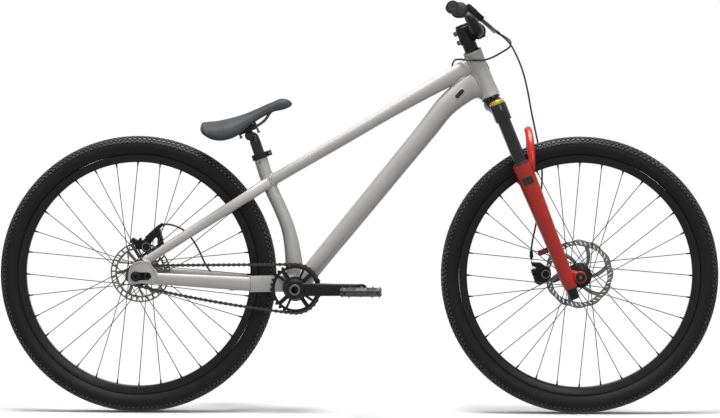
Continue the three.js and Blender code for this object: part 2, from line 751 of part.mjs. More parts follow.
// Tyre: a horseshoe section, open to the rim, with a flat strip of tread on the ground
const facetRadius = (radius) => radius / Math.cos(Math.PI / wheelSegments);
const beadHalf = rimWidth / 2 - rimWall - seatGap;
const beadSeat = rimRadius - rimHook + rimWall;
const tyreShares = [[0.94, 0.24], [0.94, 0.64]]; // of half the width, of the height over the rim
function tyreProfile() {
  const outer = [
    [beadHalf, beadSeat + seatGap],
    [beadHalf, rimRadius + seatGap],
    ...tyreShares.map(([across, share]) => [(tyreWidth / 2) * across, rimRadius + share * tyreHeight]),
    [treadFlat / 2, tyreRadius],
  ];
  const inner = [
    [beadHalf - tyreWall, beadSeat + seatGap],
    [beadHalf - tyreWall, rimRadius + tyreWall / 2],
    ...tyreShares.map(([across, share]) => [
      (tyreWidth / 2) * across - tyreWall,
      rimRadius + tyreWall / 2 + share * (tyreHeight - tyreWall),
    ]),
    [treadFlat / 2 - tyreWall / 4, tyreRadius - tyreWall],
  ];
  const flipped = (list) => list.map(([across, radius]) => [-across, radius]);
  return [...outer, ...flipped(outer).reverse(), ...flipped(inner), ...inner.reverse()]
    .map(([across, radius]) => [across, facetRadius(radius)]);
}
// Rim: a box section under two hooked flanges
function rimProfile() {
  const half = rimWidth / 2;
  const seat = rimRadius - rimHook;
  return [
    [-half * 0.55, rimBedRadius], [half * 0.55, rimBedRadius], [half, rimRadius],
    [half - rimWall, rimRadius], [half - rimWall, seat + rimWall], [-half + rimWall, seat + rimWall],
    [-half + rimWall, rimRadius], [-half, rimRadius],
  ].map(([across, radius]) => [across, facetRadius(radius)]);
}

// Straight spokes of one side, from a collar outside the flange to the rim's bed: the trailing
// ones lie one layer outside the leading ones, so that they pass without touching
function spokes(axle, flangePlane, side) {
  const layer = 2 * spokeRadius + seatGap;
  const collarStart = flangePlane + flangeThickness / 2 + 2 * seatGap;
  const footRadius = flangeRadius * 0.93;
  const endRadius = rimBedRadius - seatGap;
  const turn = (2 * Math.PI) / spokesPerSide;
  const collar = turned(axle, [
    [side * collarStart, footRadius - 2 * spokeRadius], [side * collarStart, footRadius + 2 * spokeRadius],
    [side * (collarStart + 2 * layer), footRadius + 2 * spokeRadius],
    [side * (collarStart + 2 * layer), footRadius - 2 * spokeRadius],
  ], spokesPerSide);
  const place = (angle, radius, across) => vec(
    axle.x + radius * Math.cos(angle),
    side * across,
    axle.z + radius * Math.sin(angle),
  );
  const list = Array.from({ length: spokesPerSide }, (_, i) => {
    const trailing = i % 2;
    const foot = (i + (side > 0 ? 0.5 : 0)) * turn;
    const tip = foot + (trailing ? -1 : 1) * turn * spokeCrossings;
    const outward = trailing * layer;
    return rod(
      place(foot, footRadius, collarStart + spokeRadius + outward),
      place(tip, endRadius, rimWidth * 0.06 + outward),
      spokeRadius,
      4,
    );
  });
  return join(collar, ...list);
}

// Hub: barrel, two flanges, end faces and a through bore
function hubBody(axle, width, flangeRight, flangeLeft, boss, rotorPlane) {
  const half = width / 2 - seatGap;
  const lip = flangeThickness / 2;
  const step = hubBarrelRadius * 1.25;
  return turned(axle, [
    [-half, hubEndRadius], [-boss, hubEndRadius], [-boss, step], [-flangeRight - lip, step],
    [-flangeRight - lip, flangeRadius * 0.78], [-flangeRight - lip, flangeRadius], [-flangeRight + lip, flangeRadius],
    [-flangeRight + lip, hubBarrelRadius], [flangeLeft - lip, hubBarrelRadius], [flangeLeft - lip, flangeRadius],
    [flangeLeft + lip, flangeRadius], [flangeLeft + lip, step], [rotorPlane + 2 * rotorThickness, step],
    [rotorPlane + 2 * rotorThickness, hubEndRadius], [half, hubEndRadius], [half, hubBore], [-half, hubBore],
  ], 14);
}

// Rotor: a braking band on curved arms round a hub ring
function rotorBody(axle, radius, plane) {
  const windows = 6;
  const inner = radius - rotorBand;
  const coreRadius = hubBarrelRadius * 1.55;
  const windowShare = 0.72;
  const holes = Array.from({ length: windows }, (_, i) => {
    const middle = ((i + 0.25) / windows) * 2 * Math.PI;
    const half = (windowShare * Math.PI) / windows;
    const lean = 0.42;
    const corner = (r, share) => {
      const turn = middle + half * share + lean * ((r - coreRadius) / (inner - coreRadius));
      return sidePoint(axle.x + r * Math.cos(turn), axle.z + r * Math.sin(turn));
    };
    return [corner(coreRadius, -0.75), corner(inner, -0.9), corner(inner, 0), corner(inner, 0.9),
      corner(coreRadius, 0.75)];
  });
  const centreHole = circle(axle, hubBarrelRadius * 1.25 + 1.5 * seatGap, 14, 0.5);
  return plate(circle(axle, radius, wheelSegments, 0.5), plane - rotorThickness / 2, plane + rotorThickness / 2,
    [centreHole, ...holes]);
}

function addWheel(name, axle, hub) {
  add(`${name}_tyre`, turned(axle, tyreProfile(), wheelSegments, 0), rubber());
  add(`${name}_rim`, turned(axle, rimProfile(), wheelSegments, 0), blackAluminium());
  add(`${name}_right_spokes`, spokes(axle, hub.right, -1), steel());
  add(`${name}_left_spokes`, spokes(axle, hub.left, 1), steel());
  add(`${name}_hub`, hubBody(axle, hub.width, hub.right, hub.left, hub.boss, hub.rotorPlane), blackAluminium());
  add(`${name}_rotor`, rotorBody(axle, hub.rotorRadius, hub.rotorPlane), steel());
}
addWheel('front', frontAxle, {
  width: frontHubWidth,
  right: frontFlangeRight,
  left: frontFlangeLeft,
  boss: frontHubWidth / 2 - hubEndRadius,
  rotorRadius: frontRotorRadius,
  rotorPlane: frontRotorPlane,
});
addWheel('rear', rearAxle, {
  width: dropoutSpacing - 2 * seatGap,
  right: rearFlangeRight,
  left: rearFlangeLeft,
  boss: chainLine + chainWidth,
  rotorRadius: rearRotorRadius,
  rotorPlane: rearRotorPlane,
});

// A box given by ranges along three directions of a frame that maps (a, b, across) to a place
function boxIn(place, [aLow, aHigh], [bLow, bHigh], [acrossLow, acrossHigh]) {
  return loft([acrossLow, acrossHigh].map((across) => [
    place(aLow, bLow, across), place(aHigh, bLow, across), place(aHigh, bHigh, across), place(aLow, bHigh, across),
  ]));
}
const worldPlace = (x, z, across) => vec(x, across, z);

// A prism over a convex outline of points, this far to each side along its axis
function prism(points, axis, half) {
  return loft([-half, half].map((shift) => points.map((point) => point.clone().addScaledVector(axis, shift))));
}

// Axles: a rod with a head outside each fixed plate
function axleBody(axle, radius, rightHead, leftHead, headRadius, headThickness) {
  return turned(axle, [
    [-rightHead - headThickness, headRadius], [-rightHead, headRadius], [-rightHead, radius],
    [leftHead, radius], [leftHead, headRadius], [leftHead + headThickness, headRadius],
    [leftHead + headThickness, radius * 0.4], [-rightHead - headThickness, radius * 0.4],
  ], 12);
}
const dropoutOuter = plateInner + dropoutThickness + seatGap;
add('rear_axle', axleBody(rearAxle, rearAxleRadius, dropoutOuter, dropoutOuter, axleHeadRadius, axleHeadThickness),
  blackAluminium());

// Sprockets: a toothed plate whose teeth run in the chain's groove
function toothedOutline(centre, teeth, pitchRadius) {
  const step = (2 * Math.PI) / teeth;
  const root = pitchRadius - chainHeight / 2 - 1.5 * seatGap;
  const tip = pitchRadius + chainGroove - 2 * seatGap;
  return Array.from({ length: teeth }, (_, i) => [[-0.3, root], [-0.08, tip], [0.12, tip]]
    .map(([share, radius]) => sidePoint(
      centre.x + radius * Math.cos((i + share) * step),
      centre.z + radius * Math.sin((i + share) * step),
    ))).flat();
}
const pitchRadiusOf = (teeth) => chainPitch / (2 * Math.sin(Math.PI / teeth));
const ringPitch = pitchRadiusOf(ringTeeth);
const cogPitch = pitchRadiusOf(cogTeeth);
const toothHalf = chainWidth / 2 - chainSide - seatGap * 1.5;
const hubStep = hubBarrelRadius * 1.25;
add('rear_cog', cut(
  plate(toothedOutline(rearAxle, cogTeeth, cogPitch), -chainLine - toothHalf, -chainLine + toothHalf),
  rod(vec(rearAxle.x, -chainLine - cutOverrun, rearAxle.z), vec(rearAxle.x, -chainLine + cutOverrun, rearAxle.z),
    hubStep + seatGap, 20),
), steel());

// Chain: one closed channel round both sprockets, slack below
function chainPath() {
  const span = shellCentre.clone().sub(rearAxle);
  const distance = span.length();
  const lean = Math.atan2(span.z, span.x);
  const wrap = Math.asin((ringPitch - cogPitch) / distance);
  const topAngle = lean + Math.PI / 2 + wrap;
  const bottomAngle = lean - Math.PI / 2 - wrap;
  const arc = (centre, radius, from, to, count) => Array.from({ length: count + 1 }, (_, i) => {
    const angle = from + ((to - from) * i) / count;
    return { x: centre.x + radius * Math.cos(angle), z: centre.z + radius * Math.sin(angle), angle };
  });
  const front = arc(shellCentre, ringPitch, bottomAngle, topAngle, 18);
  const rear = arc(rearAxle, cogPitch, topAngle, bottomAngle + 2 * Math.PI, 9);
  const last = rear[rear.length - 1];
  const slack = [0.2, 0.4, 0.6, 0.8].map((share) => ({
    x: last.x + (front[0].x - last.x) * share,
    z: last.z + (front[0].z - last.z) * share - chainSag * 4 * share * (1 - share),
  }));
  return [...front, ...rear, ...slack];
}
function chainBody() {
  const path = chainPath();
  const half = chainWidth / 2;
  const section = [
    [-chainHeight / 2, -half], [chainHeight / 2, -half], [chainHeight / 2, half], [-chainHeight / 2, half],
    [-chainHeight / 2, half - chainSide], [chainGroove, half - chainSide], [chainGroove, -half + chainSide],
    [-chainHeight / 2, -half + chainSide],
  ];
  const rings = path.map((point, i) => {
    const before = path[(i + path.length - 1) % path.length];
    const after = path[(i + 1) % path.length];
    const dx = after.x - before.x;
    const dz = after.z - before.z;
    const length = Math.hypot(dx, dz);
    return section.map(([out, across]) => vec(
      point.x + (out * dz) / length,
      -chainLine + across,
      point.z - (out * dx) / length,
    ));
  });
  return loft(rings, true);
}
add('chain', chainBody(), chainSteel());

// Chainring: toothed band, four pairs of arms and a hub on the spindle
const ringArms = [[43, 1], [67, 0.55], [125, 1], [143, 0.55], [223, 1], [245, 0.55], [305, 1],
  [326, 0.55]]; // direction of each arm in degrees, and its thickness as a share of ringArm
const ringInner = -chainLine + ringThickness / 2;
const ringHubEnd = -bossInner + seatGap;
function chainringBody() {
  const window = ([from, fromShare], [to, toShare]) => {
    const inner = ringHubRadius * 1.35;
    const outer = ringPitch * 0.86;
    const start = THREE.MathUtils.degToRad(from);
    const end = THREE.MathUtils.degToRad(to);
    const points = [];
    for (const [radius, order] of [[outer, [0, 0.33, 0.67, 1]], [inner, [1, 0]]]) {
      for (const share of order) {
        const low = start + ringArm * fromShare / 2 / radius;
        const high = end - ringArm * toShare / 2 / radius;
        const angle = low + (high - low) * share;
        points.push(sidePoint(shellCentre.x + radius * Math.cos(angle), shellCentre.z + radius * Math.sin(angle)));
      }
    }
    return points;
  };
  const [firstAngle, firstShare] = ringArms[0];
  const windows = ringArms.map((arm, index) => window(arm, ringArms[index + 1] ?? [firstAngle + 360, firstShare]));
  const body = join(
    plate(toothedOutline(shellCentre, ringTeeth, ringPitch), -chainLine - toothHalf, -chainLine + toothHalf),
    rod(vec(shellCentre.x, ringInner, shellCentre.z), vec(shellCentre.x, ringInner - ringThickness, shellCentre.z),
      ringPitch - chainHeight / 2 - 2 * seatGap, 24),
  );
  const open = cut(body, ...windows.map((points) => plate(points, -bossInner, ringInner + cutOverrun)));
  const hub = rod(vec(shellCentre.x, ringInner, shellCentre.z), vec(shellCentre.x, ringHubEnd, shellCentre.z),
    ringHubRadius, 16);
  return cut(join(open, hub), rod(vec(shellCentre.x, -bossInner - cutOverrun, shellCentre.z),
    vec(shellCentre.x, ringInner + cutOverrun, shellCentre.z), spindleRadius + seatGap, 18));
}
add('chainring', chainringBody(), blackAluminium());

// Crank arms: boss at the spindle, forged arm, eye with the pedal's axle
const bossOuter = bossInner + crankBossDepth;
const crankOuter = crankInner + crankThickness;
function crankArm(side) {
  const reach = -side * crankLength;
  const stations = [[0, 0.3, 0.66, 0.72], [0.25, 0.45, 0.62, 0.9], [0.6, 0.8, 0.6, 1], [1, 1, 0.58, 1]];
  const bossMiddle = bossInner + crankThickness / 2;
  const crankMiddle = crankInner + crankThickness / 2;
  const arm = tube(stations.map(([share, spreadShare, heightShare]) => ({
    at: vec(shellCentre.x + reach * share, side * (bossMiddle + (crankMiddle - bossMiddle) * spreadShare),
      shellCentre.z),
    across: crankThickness / 2,
    depth: crankBossRadius * heightShare,
  })), { sides: 12, squareness: 0.6 });
  const eye = vec(shellCentre.x + reach, 0, shellCentre.z);
  const boss = rod(vec(shellCentre.x, side * bossInner, shellCentre.z), vec(shellCentre.x, side * bossOuter,
    shellCentre.z), crankBossRadius, 16, crankBossRadius * 0.86);
  const end = rod(vec(eye.x, side * crankInner, eye.z), vec(eye.x, side * crankOuter, eye.z), crankEndRadius, 12);
  const pin = rod(vec(eye.x, side * crankOuter, eye.z), vec(eye.x, side * (pedalInner + pedalWidth * 0.9), eye.z),
    pedalAxleRadius, 10);
  return join(arm, boss, end, pin);
}
const spindleEnd = bossInner + crankBossDepth * 0.62;
const spindle = rod(vec(shellCentre.x, -bossInner - crankThickness / 2, shellCentre.z),
  vec(shellCentre.x, spindleEnd, shellCentre.z), spindleRadius, 18);
add('right_crank_arm', join(crankArm(-1), spindle), blackAluminium());
add('left_crank_arm', cut(
  crankArm(1),
  rod(vec(shellCentre.x, bossInner - cutOverrun, shellCentre.z), vec(shellCentre.x, spindleEnd + seatGap,
    shellCentre.z), spindleRadius + seatGap, 18),
), blackAluminium());

// Pedals: a platform frame round a middle barrel, with pins on both faces
function pedalBody(side) {
  const centre = vec(shellCentre.x - side * crankLength, 0, shellCentre.z);
  const inner = side * pedalInner;
  const outer = side * (pedalInner + pedalWidth);
  const [near, far] = [Math.min(inner, outer), Math.max(inner, outer)];
  const halfLength = pedalLength / 2;
  const halfHeight = pedalHeight / 2;
  const at = (x, z, across) => vec(centre.x + x, across, centre.z + z);
  const rail = pedalHeight * 0.6;
  const body = boxIn(at, [-halfLength, halfLength], [-halfHeight, halfHeight], [near, far]);
  const window = (from, to) => boxIn(at, [from, to], [-pedalHeight, pedalHeight], [near + rail, far - rail]);
  const windows = [window(-halfLength + rail, -rail * 1.1), window(rail * 1.1, halfLength - rail)];
  const bore = rod(at(0, 0, near - cutOverrun), at(0, 0, far + cutOverrun), pedalAxleRadius + 2 * seatGap, 10);
  const pins = [-0.92, 0, 0.92].flatMap((x) => [0.08, 0.92].map((share) => [x, share]))
    .concat([[-0.92, 0.5], [0.92, 0.5]])
    .map(([x, share]) => rod(
      at(x * halfLength, -halfHeight - pedalPin, near + (far - near) * share),
      at(x * halfLength, halfHeight + pedalPin, near + (far - near) * share),
      pedalPin / 2,
      4,
    ));
  return cut(join(cut(body, ...windows), ...pins), bore);
}
add('right_pedal', pedalBody(-1), blackPlastic());
add('left_pedal', pedalBody(1), blackPlastic());

// Fork crown with its steerer and the sleeves that hold the stanchions
const sleeveMiddle = (crownSleeveTop + crownSleeveFoot) / 2;
const crownTop = 5 * seatGap;
const coverTop = -headTubeLength - seatGap - coverHeight;
const spacerTop = coverTop - spacerHeight;
const stemFoot = spacerTop - seatGap;
const stemTop = stemFoot - stemHeight;
const stemMiddle = -headTubeLength - stemRise;
const stanchionTop = crownSleeveTop + 2.4 / 22 * crownSleeveTop;
const crownShares = [[0, 0, 1, 1.4], [0.4, 0.3, 0.95, 1.2], [0.72, 0.9, 0.95, 1], [1, 1, 1.1, 1]];
function forkCrownBody() {
  const half = crownShares.map(([spread, drop, tall, deep]) => ({ spread, drop, tall, deep }));
  const list = [...[...half].reverse().map((s) => ({ ...s, spread: -s.spread })), ...half.slice(1)];
  const startMiddle = crownTop + crownDepth / 2;
  const bridge = tube(list.map(({ spread, drop, tall, deep }) => ({
    at: steerPoint(startMiddle + drop * (sleeveMiddle - startMiddle), legAhead * Math.abs(spread), spread * legSpread),
    across: (crownDepth / 2) * tall,
    depth: (crownDepth / 2) * deep,
  })), { reference: steerDown, sides: 12, squareness: 0.75 });
  const sleeves = [-legSpread, legSpread].map((across) => rod(
    steerPoint(crownSleeveTop, legAhead, across),
    steerPoint(crownSleeveFoot, legAhead, across),
    crownSleeveRadius,
    16,
  ));
  const steererTop = stemTop + steererRadius / 4;
  const steerer = tube([
    round(steerPoint(steererTop, 0), steererRadius), round(steerPoint(-steererRadius, 0), steererRadius),
    round(steerPoint(crownTop, 0), steererFootRadius), round(steerPoint(crownDepth / 2, 0), steererFootRadius),
  ], { sides: 16 });
  const bores = [-legSpread, legSpread].map((across) => rod(
    steerPoint(stanchionTop - seatGap, legAhead, across),
    steerPoint(crownSleeveFoot + cutOverrun, legAhead, across),
    stanchionRadius + seatGap,
    16,
  ));
  return cut(join(bridge, ...sleeves, steerer), ...bores);
}
add('fork_crown', forkCrownBody(), blackAluminium());

const stanchionFoot = lowerTop + stanchionInside;
const frameOf = { right: -1, left: 1 };
for (const [name, side] of Object.entries(frameOf)) {
  add(`${name}_stanchion`, tube([
    round(steerPoint(stanchionTop, legAhead, side * legSpread), stanchionRadius),
    round(steerPoint(stanchionFoot, legAhead, side * legSpread), stanchionRadius),
  ], { sides: 16, wall: stanchionWall }), blackAluminium());
}
add('preload_cap', rod(
  steerPoint(crownSleeveTop - seatGap - capHeight, legAhead, -legSpread),
  steerPoint(crownSleeveTop - seatGap, legAhead, -legSpread),
  capRadius * 0.92,
  16,
  capRadius,
), goldAluminium());

// Headset cover and spacers as one turned stack
function stackBody() {
  const bore = steererRadius + seatGap;
  const profile = [
    [-headTubeLength - seatGap, coverRadius], [coverTop + coverHeight * 0.4, coverRadius],
    [coverTop, spacerRadius], [spacerTop, spacerRadius],
  ];
  const rings = [...profile, [spacerTop, bore], [-headTubeLength - seatGap, bore]].map(([along, radius]) => ring(
    steerPoint(along, 0), acrossAxis, steerAhead, radius, radius, 16,
  ));
  return loft(rings, true);
}
add('headset_spacers', stackBody(), blackAluminium());

// Stem: clamp on the steerer, clamp on the bar, and a cap over the top
function stemBody() {
  const steererClamp = rod(steerPoint(stemFoot, 0), steerPoint(stemTop, 0), stemWallRadius, 16);
  const cap = rod(steerPoint(stemTop, 0), steerPoint(stemTop - stemCap, 0), spacerRadius, 16, spacerRadius * 0.9);
  const barClamp = rod(
    steerPoint(stemMiddle, stemReach, -stemClampHalf),
    steerPoint(stemMiddle, stemReach, stemClampHalf),
    stemWallRadius + seatGap * 2,
    16,
  );
  const neck = boxIn((a, b, across) => steerPoint(a, b, across), [stemMiddle - stemHeight * 0.3,
    stemMiddle + stemHeight * 0.3], [0, stemReach], [-stemWallRadius * 0.8, stemWallRadius * 0.8]);
  const lug = boxIn((a, b, across) => steerPoint(a, b, across), [stemTop + stemHeight * 0.06,
    stemFoot - stemHeight * 0.06], [-stemWallRadius * 1.3, 0], [-stemWallRadius * 0.45, stemWallRadius * 0.45]);
  const steererBore = rod(steerPoint(stemFoot + cutOverrun, 0), steerPoint(stemTop + seatGap, 0),
    steererRadius + seatGap, 16);
  const barBore = rod(
    steerPoint(stemMiddle, stemReach, -stemClampHalf - cutOverrun),
    steerPoint(stemMiddle, stemReach, stemClampHalf + cutOverrun),
    barClampRadius + seatGap * 1.5,
    16,
  );
  return cut(join(steererClamp, cap, barClamp, neck, lug), steererBore, barBore);
}
add('stem', stemBody(), blackAluminium());

// A point of the bar's middle line beyond its rise
const barBendEnd = barHalf * 0.237;
function barPoint(across) {
  const share = (Math.abs(across) - barBendEnd) / (barHalf - barBendEnd);
  return steerPoint(
    stemMiddle - barRise - barSweepUp * share,
    stemReach - barRiseBack - barSweepBack * share,
    across,
  );
}
const barBends = [[0, 0, 1], [0.34, 0, 1], [0.5, 0.16, 0.9], [0.67, 0.5, 0.45], [0.84, 0.84, 0.12], [1, 1, 0]];
const barEnd = barHalf - gripEnd - seatGap;
function barStations() {
  const middle = barBends.map(([share, rise, thick]) => ({
    at: steerPoint(stemMiddle - barRise * rise, stemReach - barRiseBack * rise, share * barBendEnd),
    thick,
  }));
  const half = [...middle, { at: barPoint(barEnd), thick: 0 }].map(({ at, thick }) => round(
    at,
    barRadius + thick * (barClampRadius - barRadius),
  ));
  const other = half.slice(1).reverse().map((station) => ({
    ...station,
    at: vec(station.at.x, -station.at.y, station.at.z),
  }));
  return [...other, ...half];
}
add('handlebar', tube(barStations(), { reference: steerDown, sides: 12, wall: barWall }), blackAluminium());
for (const [name, side] of Object.entries(frameOf)) {
  const from = barPoint(side * (barHalf - gripLength));
  const to = barPoint(side * barHalf);
  const outward = to.clone().sub(from).normalize();
  const outer = tube([round(from, gripRadius), round(to, gripRadius)], { reference: steerDown, sides: 16 });
  const inner = tube([
    round(from.clone().addScaledVector(outward, -cutOverrun), barRadius + 2 * seatGap),
    round(to.clone().addScaledVector(outward, -gripEnd), barRadius + 2 * seatGap),
  ], { reference: steerDown, sides: 12 });
  add(`${name}_grip`, cut(outer, inner), rubber());
}

// Brake levers: a perch clamped on the bar and a blade in the lever's plane
const leverForward = vec(Math.cos(leverPitch), 0, -Math.sin(leverPitch));
const leverUp = vec(Math.sin(leverPitch), 0, Math.cos(leverPitch));
function leverPoint(forward, across, side, lift = leverLift) {
  const point = barPoint(perchPlace).addScaledVector(leverForward, forward).addScaledVector(leverUp, lift);
  point.y = side * across;
  return point;
}
const pivotAcross = perchPlace - perchInset;
const perchHalf = leverThickness * 1.15;
const perchOutline = [[0.1, -0.2], [0.1, 0.25], [0.66, 1.15], [1, 1.35], [1.2, 1.25], [1.22, 0.75], [0.9, 0.4],
  [0.45, -0.2]]; // shares of the pivot's reach and of its inset
function perchBody(side) {
  const clamp = rod(barPoint(side * (perchPlace - perchWidth / 2)), barPoint(side * (perchPlace + perchWidth / 2)),
    gripRadius * 1.08, 12);
  const block = prism(perchOutline.map(([forward, inset]) => leverPoint(
    forward * leverPivotReach,
    perchPlace - inset * perchInset,
    side,
  )), leverUp, perchHalf);
  const slotIn = pivotAcross - leverRoot - seatGap * 3;
  const slot = prism([
    leverPoint(leverPivotReach - leverRoot * 1.25, slotIn, side),
    leverPoint(leverPivotReach - leverRoot * 1.25, slotIn + leverReach, side),
    leverPoint(leverPivotReach + leverReach, slotIn + leverReach, side),
    leverPoint(leverPivotReach + leverReach, slotIn, side),
  ], leverUp, leverThickness / 2 + seatGap);
  const pin = prism(ring(leverPoint(leverPivotReach, pivotAcross, side), leverForward, acrossAxis, pivotPin, pivotPin,
    8), leverUp, perchHalf);
  const barrel = rod(leverPoint(leverPivotReach * 0.64, pivotAcross - perchInset * 0.14, side),
    leverPoint(leverPivotReach * 1.24, pivotAcross - barrelReach, side), barrelRadius, 8);
  const bore = rod(barPoint(side * (perchPlace - perchWidth)), barPoint(side * (perchPlace + perchWidth)),
    barRadius + 2 * seatGap, 12);
  const route = side < 0 ? rearHoseRoute : frontHoseRoute;
  const socket = hoseStart(route);
  return join(cut(join(clamp, block, barrel), slot, bore, socket), pin);
}
const bladeShares = [[0, 0], [0.28, 0.06], [0.56, 0.17], [0.76, 0.36], [0.9, 0.6], [0.98, 0.84], [0.99, 0.95],
  [1.04, 1.02]]; // shares of the blade's reach and length
function leverBody(side) {
  const blade = tube(bladeShares.map(([forward, out], i) => ({
    at: leverPoint(leverPivotReach + forward * (leverReach - perchInset), pivotAcross + out * leverLength * 1.33, side),
    across: leverThickness / 2,
    depth: leverThickness * (i === 0 ? 0.9 : 0.75),
  })), { reference: leverUp, sides: 6, squareness: 0.7 });
  const root = prism(ring(leverPoint(leverPivotReach, pivotAcross, side), leverForward, acrossAxis, leverRoot,
    leverRoot, 12), leverUp, leverThickness / 2);
  const eye = prism(ring(leverPoint(leverPivotReach, pivotAcross, side), leverForward, acrossAxis,
    pivotPin + seatGap, pivotPin + seatGap, 8), leverUp, leverThickness);
  return cut(join(blade, root), eye);
}
for (const [name, side] of Object.entries(frameOf)) {
  add(`${name}_brake_perch`, perchBody(side), blackAluminium());
  add(`${name}_brake_lever`, leverBody(side), blackAluminium());
}

// Fork lowers: two legs, the arch ahead of them, the axle lugs and the caliper's tabs
const lowerShares = [[0, 1], [0.21, 0.93], [0.42, 0.5], [0.7, 0.04], [0.96, -0.1], [1, -0.5]];
const archShares = [[-0.95, 0.985, 0.36], [-0.92, 0.72, 0.62], [-0.73, 0.4, 0.82], [-0.4, 0.14, 0.96], [0, 0, 1]];
function legBody(side) {
  return tube(lowerShares.map(([share, thick]) => round(
    steerPoint(lowerTop + share * (lowerFoot - lowerTop), legAhead, side * legSpread),
    lowerMidRadius + thick * (lowerTopRadius - lowerMidRadius),
  )), { sides: 14 });
}
function archBody() {
  const archFoot = lowerTop + lowerTopRadius * 1.4;
  const half = archShares.map(([spread, drop, ahead]) => ({
    at: steerPoint(archApexAlong + drop * (archFoot - archApexAlong), archApexAhead * ahead, spread * legSpread),
    across: archHalf,
    depth: archHalf * 0.95,
  }));
  const other = half.slice(0, -1).reverse().map((s) => ({ ...s, at: vec(s.at.x, -s.at.y, s.at.z) }));
  return tube([...half, ...other], { reference: steerAhead, sides: 8, squareness: 0.75 });
}
function forkLowersBody() {
  const lugStart = frontHubWidth / 2 + seatGap;
  const parts = [archBody()];
  const bores = [];
  for (const side of [-1, 1]) {
    parts.push(legBody(side));
    parts.push(rod(vec(frontAxle.x, side * lugStart, frontAxle.z), vec(frontAxle.x, side * (lugStart + lugWidth),
      frontAxle.z), lugRadius, 16));
    parts.push(bar(steerPoint(forkLength - lugRadius, legAhead, side * (lugStart + lugWidth / 2)),
      vec(frontAxle.x, side * (lugStart + lugWidth / 2), frontAxle.z), lugWidth * 0.42, lugRadius * 0.85));
    bores.push(rod(steerPoint(lowerTop - cutOverrun, legAhead, side * legSpread),
      steerPoint(stanchionFoot + forkTravel + seatGap * 10, legAhead, side * legSpread), stanchionRadius + seatGap,
      16));
  }
  for (const [along, ahead] of caliperTabs) {
    parts.push(bar(steerPoint(along, 0, tabPlane + tabThickness / 2), steerPoint(along, ahead, tabPlane
      + tabThickness / 2), tabThickness / 2, tabThickness * 0.9));
  }
  bores.push(rod(vec(frontAxle.x, -legSpread * 2, frontAxle.z), vec(frontAxle.x, legSpread * 2, frontAxle.z),
    frontAxleRadius + seatGap, 14));
  return cut(join(...parts), ...bores);
}
add('fork_lowers', forkLowersBody(), redPaint());
const lugOuter = frontHubWidth / 2 + seatGap * 2 + lugWidth;
add('front_axle', axleBody(frontAxle, frontAxleRadius, lugOuter, lugOuter, axleHeadRadius * 0.92,
  axleHeadThickness / 2), blackAluminium());
add('rebound_knob', rod(
  steerPoint(lowerFoot + seatGap * 2, legAhead, -legSpread),
  steerPoint(lowerFoot + seatGap * 2 + knobHeight, legAhead, -legSpread),
  knobRadius,
  14,
  knobRadius * 0.9,
), blackAluminium());

// Calipers: a body over the rotor's rim with a slot, ears, a cable stop and a pivoting arm
const steerPlace = (along, ahead, across) => steerPoint(along, ahead, across);
function cableStop(route, length) {
  const end = vec(...route[route.length - 1]);
  const before = vec(...route[route.length - 2]);
  const along = end.clone().sub(before).normalize();
  return rod(end.clone().addScaledVector(along, -length * 0.7), end.clone().addScaledVector(along, length * 0.4),
    barrelRadius, 12);
}
function hoseEnd(route, length) {
  const end = vec(...route[route.length - 1]);
  const before = vec(...route[route.length - 2]);
  const along = end.clone().sub(before).normalize();
  return rod(end.clone().addScaledVector(along, -length), end.clone().addScaledVector(along, length),
    hoseRadius + 4 * hoseClear, 10);
}
// The way of the bare wire from a housing's end to its arm
function wireLine(route, armEnd, armInner, radius, sides) {
  const end = vec(...route[route.length - 1]);
  const anchor = vec(armEnd.x, armInner + caliperArmThickness / 2, armEnd.z);
  const wireEnd = anchor.clone().addScaledVector(end.clone().sub(anchor).normalize(), anchorGap);
  return rod(end, wireEnd, radius, sides);
}
const frontSlot = [frontRotorPlane - caliperSlot / 2, frontRotorPlane + caliperSlot / 2];
const rearSlot = [rearRotorPlane - caliperSlot / 2, rearRotorPlane + caliperSlot / 2];
const frontCaliperInner = frontRotorPlane - caliperThickness * 0.29;
const frontCaliperOuter = frontCaliperInner + caliperThickness;
function frontCaliperBody() {
  const [upperTab, lowerTab] = caliperTabs;
  const outer = tabPlane - seatGap;
  const body = boxIn(steerPlace, [caliperAlong, caliperAlong + caliperLength], [caliperBack, caliperBack
    + caliperDepth], [frontCaliperInner, frontCaliperOuter]);
  const upper = boxIn(steerPlace, [upperTab[0] - tabThickness, caliperAlong + seatGap], [caliperBack + tabThickness,
    upperTab[1] + tabThickness], [outer - tabThickness, outer]);
  const lower = boxIn(steerPlace, [caliperAlong + caliperLength * 0.7, lowerTab[0] + tabThickness], [caliperBack
    + caliperDepth * 0.5, lowerTab[1] + tabThickness], [outer - tabThickness, frontCaliperOuter]);
  const slot = boxIn(steerPlace, [caliperAlong - cutOverrun, caliperAlong + caliperLength + cutOverrun],
    [caliperBack + caliperDepth * 0.26, caliperBack + caliperDepth + cutOverrun], frontSlot);
  return { body, upper, lower, slot, outer };
}
const frontCaliper = frontCaliperBody();
const frontArmInner = frontCaliperOuter + seatGap * 2;
const frontStud = rod(vec(frontPivot.x, frontCaliperOuter - cutOverrun, frontPivot.z), vec(frontPivot.x, frontArmInner
  + caliperArmThickness + seatGap, frontPivot.z), pivotPin, 12);
add('front_caliper', cut(
  join(cut(frontCaliper.body, frontCaliper.slot), frontCaliper.upper, frontCaliper.lower, frontStud,
    cableStop(frontHoseRoute, stopLength)),
  hoseEnd(frontHoseRoute, stopLength),
  wireLine(frontHoseRoute, frontArmEnd, frontArmInner, 3 * wireRadius, 8),
), blackAluminium());

